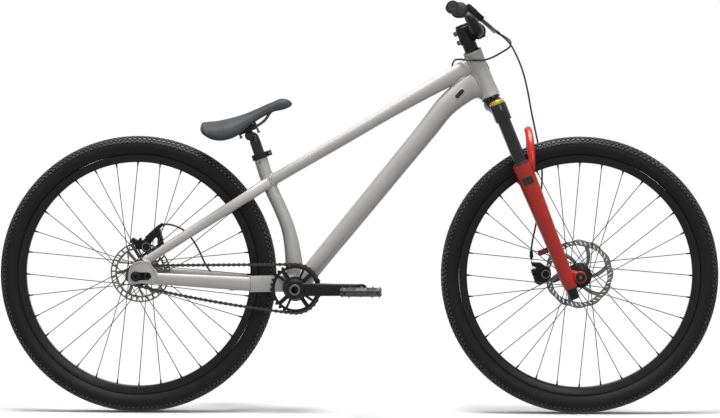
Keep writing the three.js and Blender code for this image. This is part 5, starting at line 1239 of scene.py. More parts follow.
        # A thin dark sheet through the collar's lug: painted shade standing in for the open slit.
        gap_shade = block((ahead, ACROSS, up), PLACE.post(-5.2, 25.2), (10.6, 1.6, 13), 0.1, 1)
        bolt = rod(PLACE.post(-5.2, 25.5, -9.2), PLACE.post(-5.2, 25.5, 9.2), 3.6, edge=0.5)
        dress("seat_collar_band", [collar, lug], SATIN_BLACK, self.body, "seat_collar")
        dress("collar_gap_shade", gap_shade, PLASTIC, self.body)
        dress("collar_bolt", bolt, BOLT_STEEL, self.body)
        cups = []
        for side in (-1, 1):
            cup = turned(PLACE.shell, ACROSS * side, [(12.9, 36.8), (21.4, 36.8), (22, 37.4), (22, 41.5),
                (20.8, 42.2), (20.6, 45), (12.9, 45.2)], 64)
            notch = rod(PLACE.shell + Vector((21.6, side * 37.6, 0)), PLACE.shell
                + Vector((21.6, side * 41.4, 0)), 1.3, sides=8, edge=0)
            cups += [cup, repeat_about(notch, PLACE.shell, 16)]
        spindle = turned(PLACE.shell, ACROSS, [(11.9, -36.6), (12.9, -36.6), (12.9, 36.6), (11.9, 36.6)], 48)
        dress("bearing_cups", [*cups, spindle], SATIN_BLACK, self.body, "bottom_bracket")
        heads = both_sides(PLACE.rear_axle, [(3.4, 80.2), (3.6, 83), (8.2, 83.6), (9.6, 82.6), (9.8, 79.6),
            (12.2, 79.2), (12.9, 78.4), (12.9, 76.2), (7.6, 76), (7.4, 60), (3.4, 60)])
        bar = pin(PLACE.rear_axle, ACROSS * 75, 7.3, edge=0.3)
        dress("rear_axle_set", [*heads, bar], SATIN_BLACK, self.body, "rear_axle")
        tree = skin(self.parts["down_tube"])
        spot = surface_at(tree, 250, 795.5)
        slope = (PLACE.steer(-31) - PLACE.shell).normalized()
        square = square_to(slope)
        for name, reach, radius, look, proud in (("port_rim", 8.8, 7.1, CAST_ALUMINIUM, 0.5),
                ("port_plug", 8.6, 5.6, PLASTIC, 1.0)):
            outline = [spot + ACROSS * (2 - proud) + slope * (copysign(reach, cos(a)) + radius * cos(a))
                + square * radius * sin(a) for a in np.linspace(0, TURN, 33)[:-1]]
            dress(name, prism_block(outline, ACROSS, 2), look, self.body)
        marks = [rod(spot + slope * x - ACROSS * 0.8, spot + slope * x - ACROSS * 1.5, 2.8, edge=0.3)
            for x in (-6.2, 6.2)]
        dress("port_eyes", marks, DARK_METAL, self.body)
        front = PLACE.steer(-72, 23)
        badge = block((PLACE.steer_ahead, ACROSS, PLACE.steer_down), front, (2.4, 12, 16), 1.1, 3)
        dress("plain_badge", badge, BOLT_STEEL, self.body)
        # A dark disc and bar on the seat tube: painted shade standing in for the clamp slot's relief hole and
        # slit.
        tree = skin(self.parts["seat_tube"])
        hole = surface_at(tree, -243.7, 624)
        upper = surface_at(tree, *(Vector((-243.7, 0, 624)) + up * 8).xz)
        slot_shade_parts = [rod(hole + ACROSS * 0.6, hole - ACROSS * 0.12, 2.7, sides=20, edge=0),
            block((ahead, ACROSS, up), (hole + upper) / 2 + ACROSS * 0.3, (1.3, 0.9, 9), 0)]
        dress("clamp_slot_shade", slot_shade_parts, PLASTIC, self.body)

    def build(self) -> None:
        """Build the whole frame."""
        self.tubes()
        self.rear_triangle()
        self.welds()
        self.small_parts()


# Fork


@dataclass
class Fork:
    """Single-crown suspension fork."""
    leg_spread: float = 65
    leg_ahead: float = 8.8
    lower_top: float = 181
    lower_foot: float = 512

    def leg(self, side: int, along: float = 0) -> Vector:
        """Middle of a leg at a distance down the steering axis."""
        return PLACE.steer(along, self.leg_ahead, side * self.leg_spread)

    def crown(self) -> None:
        """Build the crown, its sleeves and the steerer."""
        down, ahead = PLACE.steer_down, PLACE.steer_ahead
        shares = ((-1, 1, 1.1, 1), (-0.72, 0.9, 0.95, 1), (-0.4, 0.3, 0.95, 1.2), (-0.2, 0.08, 0.98, 1.35),
            (0, 0, 1, 1.4), (0.2, 0.08, 0.98, 1.35), (0.4, 0.3, 0.95, 1.2), (0.72, 0.9, 0.95, 1),
            (1, 1, 1.1, 1))
        rows = [(*PLACE.steer(18.5 + drop * 25.5, self.leg_ahead * abs(spread), spread * self.leg_spread),
            17 * tall, 17 * deep, 0.75) for spread, drop, tall, deep in shares]
        parts = [rolled(sections(rows, 48, 40, down))]
        for side in (-1, 1):
            profile = [(16.2, 66), (19.8, 66), (20.4, 65.2), (20.4, 23), (19.6, 22.1), (0.01, 22.1),
                (0.01, 24), (16.2, 24)]
            parts.append(turned(self.leg(side), down, profile, 56))
        parts.append(turned(PLACE.steer(0), down, [(0.01, -182), (14.3, -182), (14.3, -15), (18.6, 0.6),
            (23.4, 1.2), (24.2, 2.4), (23.6, 6), (0.01, 8)], 48))
        dress("crown_casting", parts, GLOSS_BLACK, "steering", "fork_crown", angle=42)

    def stanchions(self) -> None:
        """Build the stanchions, the gold cap and the plug of the left leg."""
        for side, word in SIDES:
            profile = [(14, 24.6), (16, 24.6), (16, 320.6), (14, 320.6)]
            sleeve = turned(self.leg(side), PLACE.steer_down, profile, 56)
            dress(f"{word}_stanchion_tube", sleeve, GLOSS_BLACK, "steering", f"{word}_stanchion")
        down = PLACE.steer_down
        right = self.leg(-1)
        cap = turned(right, down, [(0.01, 12.8), (14.8, 12.8), (15.6, 13.6), (15.8, 16), (18.9, 16.6),
            (18.9, 21.5), (0.01, 21.5)], 56)
        notch = block((PLACE.steer_ahead, ACROSS, down), right + down * 18.6 + PLACE.steer_ahead * 18.7,
            (1.6, 3.2, 3.4), 0.3, 1)
        notches = repeat_about(notch, right, 12, down)
        dress("fork_cap", [cap, notches], GOLD, "steering", "preload_cap", angle=35)
        left = self.leg(1)
        plug = turned(left, down, [(3, 15.5), (12.5, 15.2), (15, 16.4), (17.6, 18.5), (18.2, 21.8),
            (3, 21.8)], 48)
        dress("left_top_cap", plug, SATIN_BLACK, "steering")

    def lowers(self) -> None:
        """Build the red lowers with their arch, lugs, seals, tabs and blank label."""
        down, ahead = PLACE.steer_down, PLACE.steer_ahead
        parts, seals = [], []
        for side in (-1, 1):
            shares = ((0, 1), (0.035, 1.02), (0.1, 0.98), (0.21, 0.93), (0.32, 0.7), (0.42, 0.5),
                (0.56, 0.22), (0.7, 0.04), (0.85, -0.06), (0.96, -0.1), (0.99, -0.35), (1, -0.6))
            rows = []
            for along, thick in shares:
                radius = 18 + 5.5 * thick
                place = self.leg(side, self.lower_top + along * (self.lower_foot - self.lower_top))
                rows.append((*place, radius, radius, 1))
            parts.append(rolled(sections(rows, 60, 40)))
            lug = PLACE.front_axle + ACROSS * side * 60.8
            parts.append(pin(lug, ACROSS * side * 10.4, 15, sides=48, edge=1.4))
            parts.append(sweep_bar(PLACE.steer(474, self.leg_ahead, side * 60.8), lug, 17.5, 26))
            seals.append(turned(self.leg(side), down, [(16.1, 174.8), (17.6, 174.6), (18.4, 176.2),
                (20.6, 177.2), (21.3, 179), (21.3, 181.2), (16.1, 181.2)], 48))
        arch = ((-0.95, 0.985, 0.36), (-0.92, 0.72, 0.62), (-0.73, 0.4, 0.82), (-0.4, 0.14, 0.96), (0, 0, 1),
            (0.4, 0.14, 0.96), (0.73, 0.4, 0.82), (0.92, 0.72, 0.62), (0.95, 0.985, 0.36))
        rows = [(*PLACE.steer(112 + drop * 101.9, 56 * reach, spread * self.leg_spread), 9.3, 9.3, 0.72)
            for spread, drop, reach in arch]
        parts.append(rolled(sections(rows, 64, 32, ahead)))
        for along, reach in ((412, -30), (488, -22)):
            parts.append(sweep_bar(PLACE.steer(along, 0, 70), PLACE.steer(along, reach, 70), 7.8, 14))
        dress("lower_casting", parts, RED, "lowers", "fork_lowers", angle=42)
        dress("dust_seals", seals, PLASTIC, "lowers")
        top = self.leg(-1)
        label = [ring(self.leg(-1, along), ahead, ACROSS, radius, radius, 1, 72)[47:62]
            for along, radius in ((214, 23.6), (222, 23.5), (232, 23.3), (244, 23.1))]
        outline = [[*row, *[point.lerp(top + down * (point - top).dot(down), 0.03) for point in row[::-1]]]
            for row in label]
        dress("blank_leg_label", rolled(outline), BLANK_LABEL, "lowers")

    def axle(self) -> None:
        """Build the front axle's ends and the rebound knob."""
        centre = PLACE.front_axle
        parts = [pin(centre, ACROSS * 70, 7.3, edge=0.3)]
        parts += both_sides(centre, [(4.6, 71.4), (4.8, 75.2), (9.4, 75.6), (11.3, 74.6), (11.8, 73.2),
            (11.8, 71.6), (7, 71.4), (7, 66), (4.6, 66)])
        dress("front_axle_set", parts, SATIN_BLACK, "lowers", "front_axle")
        hexes = [rod(centre + ACROSS * side * 66, centre + ACROSS * side * 73.6, 4.9, sides=6, edge=0)
            for side in (-1, 1)]
        dress("front_axle_sockets", hexes, BOLT_STEEL, "lowers")
        down = PLACE.steer_down
        leg = self.leg(-1)
        knob = turned(leg, down, [(0.01, 512.8), (11.8, 512.8), (12.4, 513.6), (12.3, 526), (11.9, 527.5),
            (11.5, 536), (10.4, 539), (4, 539.4), (3.6, 537.4), (0.01, 537.4)], 48)
        rib = rod(leg + down * 528.5 + PLACE.steer_ahead * 11.5, leg + down * 536 + PLACE.steer_ahead * 11.2,
            0.75, sides=8, edge=0)
        ribs = repeat_about(rib, leg, 20, down)
        dress("knob_turning", [knob, ribs], SATIN_BLACK, "knob", "rebound_knob", angle=35)

    def build(self) -> None:
        """Build the whole fork."""
        self.crown()
        self.stanchions()
        self.lowers()
        self.axle()


# Cockpit


@dataclass
class Cockpit:
    """Stem, riser bar, grips, brake levers and headset parts."""
    stem_along: float = -162
    stem_ahead: float = 31
    bar_half: float = 380
    bend_end: float = 90.06
    bar_radius: float = 11.1
    clamp_radius: float = 15.9
    grip_inner: float = 245
    pivot_across: float = 192

    def bar(self, across: float) -> Vector:
        """Middle of the handlebar's outer stretch at a distance off the middle plane."""
        share = (abs(across) - self.bend_end) / (self.bar_half - self.bend_end)
        return PLACE.steer(self.stem_along - 49.6 - 29.1 * share, self.stem_ahead - 8 - 29.2 * share, across)

    def headset(self) -> None:
        """Build the headset cover and the spacers."""
        up = -PLACE.steer_down
        profile = [(14.6, 119.9), (24.2, 119.9), (24.5, 120.5), (24.2, 121.6), (18.4, 124.2), (17.5, 124.6)]
        for low in (124.6, 130.2, 135.8):
            profile += [(17.0, low + 0.1), (17.5, low + 0.5), (17.5, low + 5.0), (17.0, low + 5.4)]
        profile += [(14.6, 141.2)]
        dress("headset_stack", turned(PLACE.steer(0), up, profile, 64), SATIN_BLACK, "steering",
            "headset_spacers", angle=30)

    def stem(self) -> None:
        """Build the stem with its faceplate and bolts."""
        up, ahead = -PLACE.steer_down, PLACE.steer_ahead
        parts = [turned(PLACE.steer(0), up, [(14.6, 141.8), (18.6, 141.8), (19.4, 142.8), (19.4, 184.4),
            (18.4, 185.5), (17.4, 185.7), (17, 190.6), (15.4, 192), (4, 192), (3.6, 190), (0.01, 190),
            (0.01, 186), (14.6, 185.2)], 56)]
        centre = PLACE.steer(self.stem_along, self.stem_ahead)
        parts += both_sides(centre, [(16.1, 0.5), (16.1, 24.4), (19.2, 24.8), (20.1, 23.8), (20.1, 10.5),
            (18.6, 8.5), (18.6, 0.5)])
        axes = ahead, ACROSS, up
        parts += [block(axes, PLACE.steer(self.stem_along, 13, side * 9.4), (20, 11.5, 25), 3, 3)
            for side in (-1, 1)]
        parts.append(block(axes, PLACE.steer(self.stem_along, 12), (20, 16, 18), 3, 3))
        clamp_bolts = -175.5, -152
        parts += [block(axes, PLACE.steer(at, -19.5), (16, 18, 11.5), 2.5, 3) for at in clamp_bolts]
        dress("stem_casting", parts, SATIN_BLACK, "steering", "stem", angle=35)
        bolts = []
        for side in (-1, 1):
            for height in (-15.8, 15.8):
                spot = PLACE.steer(self.stem_along + height, self.stem_ahead, side * 17.6)
                bolts.append(rod(spot - ahead * 2, spot + ahead * 14.4, 3.9, edge=0.4, sides=20))
                bolts.append(rod(spot + ahead * 14, spot + ahead * 14.8, 2.0, sides=6, edge=0))
        for height in clamp_bolts:
            spot = PLACE.steer(height, -21.5)
            bolts.append(pin(spot, ACROSS * 10.8, 4.2, edge=0.4, sides=20))
            bolts.append(pin(spot, ACROSS * 11.1, 2.0, sides=6, edge=0))
        bolts.append(rod(PLACE.steer(-189), PLACE.steer(-192.6), 3.4, edge=0.4, sides=20))
        dress("stem_bolts", bolts, BOLT_STEEL, "steering")
        # Thin dark strips at the faceplate's seams: painted shade standing in for the gaps between faceplate
        # and stem.
        seams = [block(axes, centre + up * side * 19, (1.2, 47, 3.6), 0.3, 1) for side in (-1, 1)]
        dress("clamp_seam_shade", seams, PLASTIC, "steering")

    def handlebar(self) -> None:
        """Build the riser bar."""
        half = [(0, 0, 1), (0.17, 0, 1), (0.34, 0, 1), (0.5, 0.16, 0.9), (0.67, 0.5, 0.45),
            (0.84, 0.84, 0.12), (1, 1, 0)]
        right = [(*PLACE.steer(self.stem_along - 49.6 * rise, self.stem_ahead - 8 * rise,
            share * self.bend_end), self.bar_radius + thick * (self.clamp_radius - self.bar_radius))
            for share, rise, thick in half]
        right += [(*self.bar(across), self.bar_radius) for across in (130, 200, 290, 377)]
        rows = [(x, -y, z, r) for x, y, z, r in reversed(right[1:])] + right
        path, radii = [row[:3] for row in rows], [row[3] for row in rows]
        dress("bar_tube", tube(path, radii, 150, 32), SATIN_BLACK, "steering", "handlebar")

    def grips(self) -> None:
        """Build the ribbed grips with their flanges and end caps."""
        for side, word in SIDES:
            inner, outer = (self.bar(side * (self.grip_inner + 0.3)), self.bar(side * 379.6))
            way = (outer - inner).normalized()
            length = (outer - inner).length
            profile = [(11.4, 0.2), (18.9, 0.2), (19.6, 1.2), (19.4, 3.4), (16.4, 5.2), (14.2, 7.2)]
            place = 8.6
            while place < length - 12:
                profile += [(13.9, place), (14.9, place + 0.5), (14.9, place + 1.9), (13.9, place + 2.4)]
                place += 3.4
            profile += [(14.4, length - 8), (15.2, length - 7.2), (15.2, length - 1.4), (14.4, length - 0.3),
                (11.4, length - 0.3)]
            dress(f"{word}_grip_sleeve", turned(inner, way, profile, 40), GRIP, "steering", f"{word}_grip",
                angle=30)
            plug = turned(inner, way, [(0.01, length - 2), (0.01, length - 0.9), (4.4, length - 1),
                (5, length - 0.2), (10.4, length - 0.2), (11.2, length - 1), (11.2, length - 2)], 40)
            dress(f"{word}_bar_end", plug, DARK_METAL, "steering")

    def lever_place(self, forward: float, across: float, side: int, lift: float = 18) -> Vector:
        """Place in the frame of a brake lever."""
        along = heading(-PLACE.lever_pitch)
        spot = self.bar(218) + along * forward + square_to(along) * lift
        return Vector((spot.x, side * across, spot.z))

    def levers(self) -> None:
        """Build both brake levers with their perches, adjusters and pivots."""
        forward = heading(-PLACE.lever_pitch)
        up = square_to(forward)
        shares = ((0, 0), (0.14, 0.02), (0.28, 0.06), (0.56, 0.17), (0.76, 0.36), (0.9, 0.6), (0.98, 0.84),
            (1.0, 0.93), (1.04, 1.02))
        outline = ((0.1, -0.2), (0.1, 0.25), (0.66, 1.15), (1, 1.35), (1.2, 1.25), (1.22, 0.75), (0.9, 0.4),
            (0.45, -0.2))
        for side, word in SIDES:
            rows = []
            for index, (reach, out) in enumerate(shares):
                place = self.lever_place(44 + reach * 54, self.pivot_across + out * 133, side)
                rows.append((*place, 3.4, 6.2 if index == 0 else 5.1, 0.7))
            blade = rolled(sections(rows, 40, 20, up))
            tip = self.lever_place(44 + 1.04 * 54, self.pivot_across + 1.02 * 133, side)
            ball = pin(tip, up * 3.3, 5.6, sides=28, edge=1.2)
            pivot = self.lever_place(44, self.pivot_across, side)
            root = pin(pivot, up * 3.4, 6.9, sides=28, edge=0.8)
            dress(f"{word}_lever_blade", [blade, ball, root], SATIN_BLACK, f"{word}_lever",
                f"{word}_brake_lever")
            clamp_in, clamp_out = (self.bar(side * 211), self.bar(side * 225))
            clamp = turned(clamp_in, (clamp_out - clamp_in).normalized(),
                [(11.4, 0.2), (15.8, 0.2), (16.4, 0.9), (16.4, 13.1), (15.8, 13.9), (11.4, 13.9)], 48)
            rows = [self.lever_place(x * 44, 218 - inset * 26, side, 18) for x, inset in outline]
            body = prism_block(rows, up, 7.6)
            core = block((forward, ACROSS, up), self.lever_place(17, 217, side), (30, 23, 17), 4, 4)
            barrel_in = self.lever_place(44 * 0.64, self.pivot_across - 26 * 0.14, side)
            barrel_out = self.lever_place(44 * 1.24, self.pivot_across - 27, side)
            barrel = rod(barrel_in, barrel_out, 5.1, 4.6, 24, 0.6)
            way = (barrel_out - barrel_in).normalized()
            collars = [rod(barrel_in + way * at, barrel_in + way * (at + 1.5), 5.7, sides=24, edge=0.3)
                for at in (13, 16.4, 19.8, 23.2)]
            dress(f"{word}_perch_body", [clamp, body, core, barrel, *collars], SATIN_BLACK, "steering",
                f"{word}_brake_perch", angle=35)
            hinge = pin(pivot, up * 6.8, 2.7, sides=20, edge=0.3)
            clamp_bolt = self.bar(side * 218) + forward * 13 - up * 9
            screw = pin(clamp_bolt, ACROSS * side * 4, 2.6, sides=16, edge=0.3)
            dress(f"{word}_lever_bolts", [hinge, screw], BOLT_STEEL, "steering")

    def build(self) -> None:
        """Build the whole cockpit."""
        self.headset()
        self.stem()
        self.handlebar()
        self.grips()
        self.levers()


# Drive


@dataclass
class Drive:
    """Cranks, chainring, chain, cog and pedals."""
    pitch: float = 12.7
    ring_teeth: int = 30
    cog_teeth: int = 12
    line: float = -48.5
    sag: float = 6
    links: int = 84
    crank_length: float = 165
    window_arms: Outline = ((43, 1), (67, 0.55), (125, 1), (143, 0.55), (223, 1),
        (245, 0.55), (305, 1), (326, 0.55), (403, 1))

    def pitch_radius(self, teeth: int) -> float:
        """Pitch radius of a sprocket."""
        return self.pitch / (2 * sin(pi / teeth))

    def route(self) -> np.ndarray:
        """Dense closed route of the chain's pitch line, in x and z, first round the chainring."""
        front, rear = PLACE.shell, PLACE.rear_axle
        ring_radius, cog_radius = (self.pitch_radius(self.ring_teeth), self.pitch_radius(self.cog_teeth))
        span = front - rear
        lean = atan2(span.z, span.x)
        wrap = asin((ring_radius - cog_radius) / span.length)
        top, bottom = lean + pi / 2 + wrap, lean - pi / 2 - wrap
        points = arc(front, ring_radius, np.linspace(bottom, top, 220))
        points += arc(rear, cog_radius, np.linspace(top, bottom + TURN, 120))
        last, first = points[-1], points[0]
        points += [(last[0] + (first[0] - last[0]) * share, last[1] + (first[1] - last[1]) * share
            - self.sag * 4 * share * (1 - share)) for share in np.linspace(0, 1, 160)[1:]]
        return np.array(points)

    def chain(self) -> tuple[float, float]:
        """Build the chain link by link.

        Returns:
            Angles of a roller on the chainring and of one on the cog.
        """
        route = self.route()
        steps = np.linalg.norm(np.diff(route, axis=0), axis=1)
        along = np.concatenate([[0], np.cumsum(steps)])
        places = np.linspace(0, along[-1], self.links + 1)
        pins = np.stack([np.interp(places, along, route[:, axis]) for axis in (0, 1)], axis=1)

        def side_plate(across: float, height: float) -> Object:
            """One link plate at the origin."""
            reach = self.pitch / 2
            half = [(reach + height / 2 * cos(angle), height / 2 * sin(angle))
                for angle in np.linspace(-0.72, 0.72, 10) * pi]
            half.append((0, height * 0.27))
            outline = [(reach + x * sign, z * sign) for sign in (1, -1) for x, z in half]
            return plate([outline], across, 0.95, 0.12)

        sets = []
        kinds = (0, 2.75, 8, 3.28, 1.7, 10), (1, 1.72, 8.4, 1.2, 3.85, 16)
        for start, across, height, reach, radius, sides in kinds:
            parts = [side_plate(across * side, height) for side in (-1, 1)]
            parts += [pin(Vector((x, 0, 0)), ACROSS * reach, radius, sides, 0.2) for x in (0, self.pitch)]
            matrices = []
            for index in range(start, self.links, 2):
                low, high = pins[index], pins[index + 1]
                spot = Vector((low[0], self.line, low[1])) * MM
                turn = Matrix.Rotation(-atan2(high[1] - low[1], high[0] - low[0]), 4, "Y")
                matrices.append(Matrix.Translation(spot) @ turn)
            sets.append(repeat(join(*parts), matrices))
        dress("chain_links", sets, CHAIN, "frame", "chain", angle=30)
        first = pins[0] - np.array((PLACE.shell.x, PLACE.shell.z))
        gaps = pins - np.array((PLACE.rear_axle.x, PLACE.rear_axle.z))
        near = gaps[np.argmin(gaps[:, 0])]
        return (atan2(first[1], first[0]), atan2(near[1], near[0]))

    def teeth(self, centre: Vector, teeth: int, roller: float) -> list[Pair]:
        """Outline of a sprocket whose gaps take rollers at a given angle."""
        pitch_radius = self.pitch_radius(teeth)
        root, tip = pitch_radius - 4.4, pitch_radius + 2.2
        points = []
        for index in range(teeth):
            for share in (0, 0.14, 0.26, 0.38, 0.46, 0.54, 0.62, 0.74, 0.86):
                radius = root + (tip - root) * (0.5 - 0.5 * cos(TURN * share)) ** 0.9
                angle = roller + (index + share) * TURN / teeth
                points.append((centre.x + radius * cos(angle), centre.z + radius * sin(angle)))
        return points

    def sprockets(self, ring_roller: float, cog_roller: float) -> None:
        """Build the chainring and the cog.

        Args:
            ring_roller: Angle of a roller on the chainring.
            cog_roller: Angle of a roller on the cog.
        """
        shell, rear = PLACE.shell, PLACE.rear_axle
        windows = []
        for (start, thick), (end, other) in zip(self.window_arms, self.window_arms[1:], strict=False):
            spot = []
            for radius, way in ((51.4, 1), (29.9, -1)):
                low, high = radians(start) + 4.6 * thick / radius, radians(end) - 4.6 * other / radius
                spot += arc(shell, radius, np.linspace(low, high, 9)[::way])
            windows.append(spot)
        bore = circle(shell, 11.9, 40)
        outline = self.teeth(shell, self.ring_teeth, ring_roller)
        toothed = plate([outline, circle(shell, 52, 96)], self.line, 2.3, 0.3)
        face = plate([circle(shell, 55.4, 120), bore, *windows], self.line, 4, 0.5)
        hub = turned(shell, -ACROSS, [(11.9, 47), (21.4, 47), (22, 49), (22, 56.8), (21.2, 57.6),
            (11.9, 57.6)], 64)
        dress("chainring_plate", [toothed, face, hub], SATIN_BLACK, "crank", "chainring", angle=30)
        outline = self.teeth(rear, self.cog_teeth, cog_roller)
        cog = plate([outline, circle(rear, 17.8, 48)], self.line, 2.3, 0.3)
        dress("cog_plate", cog, DARK_METAL, "cog", "rear_cog", angle=30)

    def cranks(self) -> None:
        """Build both crank arms, their bosses and the spindle."""
        shell = PLACE.shell
        for side, word in SIDES:
            rows = []
            for share, spread, high, thick in ((0, 0.3, 0.66, 0.8), (0.1, 0.34, 0.655, 0.86),
                    (0.25, 0.45, 0.62, 0.94), (0.45, 0.66, 0.6, 1), (0.6, 0.8, 0.585, 1),
                    (0.85, 0.96, 0.575, 1), (1, 1, 0.57, 1)):
                rows.append((shell.x - side * self.crank_length * share, side * (65 + 14 * spread), shell.z,
                    7 * thick, 26 * high, 0.55))
            arm = rolled(sections(rows, 60, 36))
            eye = shell - Vector((side * self.crank_length, 0, 0))
            end = turned(eye, ACROSS * side, [(4, 72.2), (14.2, 72.2), (15, 73.2), (15, 84.8), (14.2, 85.9),
                (9.4, 85.9), (9, 84.9), (4, 84.9)], 56)
            boss = turned(shell, ACROSS * side, [(12, 58.2), (25.2, 58.2), (26, 59.2), (25.2, 72),
                (23.4, 82.4), (22.2, 83.9), (14.4, 83.9), (13.8, 82.8), (12, 82.8)], 72)
            axle = rod(eye + ACROSS * side * 84, eye + ACROSS * side * 178, 6.8, edge=0.4)
            parts = [arm, end, boss, axle]
            if side < 0:
                parts.append(turned(shell, ACROSS, [(0.01, -2), (9.6, -2), (9.6, -80), (11.4, -80),
                    (11.4, 80), (9.6, 80), (9.6, 2), (0.01, 2)], 48))
            dress(f"{word}_crank_body", parts, SATIN_BLACK, "crank", f"{word}_crank_arm", angle=32)
            ring_piece = turned(shell, ACROSS * side, [(9.2, 82), (9.2, 84.2), (12.4, 84.3), (13.6, 83.9),
                (14.2, 83), (14.2, 82)], 56)
            dress(f"{word}_crank_ring", ring_piece, BOLT_STEEL, "crank")
            nut = turned(eye, ACROSS * side, [(0.01, 85.2), (0.01, 86.6), (8.2, 86.6), (8.7, 86),
                (8.7, 85.2)], 32)
            dress(f"{word}_pedal_nut", nut, BOLT_STEEL, "crank")
            self.pedal(side, word, eye)

    def pedal(self, side: int, word: str, eye: Vector) -> None:
        """Build a platform pedal with its pins.

        Args:
            side: -1 for the drive side.
            word: The side's name.
            eye: Middle of the crank's eye.
        """
        near, far = 92.2, 187.8

        def flat(points: Outline) -> list[Pair]:
            """Outline in plan from x off the axle and distance off the middle plane."""
            return [(eye.x + x, side * y) for x, y in points]
        half = [(30, near), (44, near + 9), (49.2, near + 22), (49.8, 140), (49.2, far - 14), (42, far - 2),
            (30, far)]
        outline = flat([*half, *[(-x, y) for x, y in reversed(half)]])
        windows = [flat([(sign * 12.5, low), (sign * 39, low + 3), (sign * 39.5, high - 3),
            (sign * 12.5, high)]) for sign in (-1, 1) for low, high in ((104, 134), (142, 176))]
        body = [plate([outline, *windows], eye.z + level, 4.4, 1, level=True) for level in (-5.2, 5.2)]
        spine = flat([(-11, near + 0.4), (11, near + 0.4), (11, far - 0.4), (-11, far - 0.4)])
        body.append(plate([spine], eye.z, 12.4, 1.2, level=True))
        body += [rod(eye + Vector((x, side * y, -5.6)), eye + Vector((x, side * y, 5.6)), 4, sides=20,
            edge=0.3) for x in (-43, 43) for y in (near + 14, far - 10)]
        tube_piece = rod(eye + ACROSS * side * (near - 0.05), eye + ACROSS * side * far, 8.2, edge=1)
        dress(f"{word}_pedal_platform", [*body, tube_piece], PEDAL, f"{word}_pedal_body", f"{word}_pedal",
            angle=32)
        pins = []
        spots = [(46, y) for y in (114, 128, 142, 156, 172)] + [(28, 96.5), (28, 183.5)]
        for x, y in spots + [(-x, y) for x, y in spots]:
            spot = eye + Vector((x, side * y, 0))
            pins.append(pin(spot, UPRIGHT * 10.8, 1.55, sides=10, edge=0.3))
            pins.append(pin(spot, UPRIGHT * 7.4, 2.7, sides=12, edge=0.3))
        dress(f"{word}_pedal_pins", pins, BOLT_STEEL, f"{word}_pedal_body")

    def build(self) -> None:
        """Build the whole drive."""
        self.sprockets(*self.chain())
        self.cranks()


# Seat


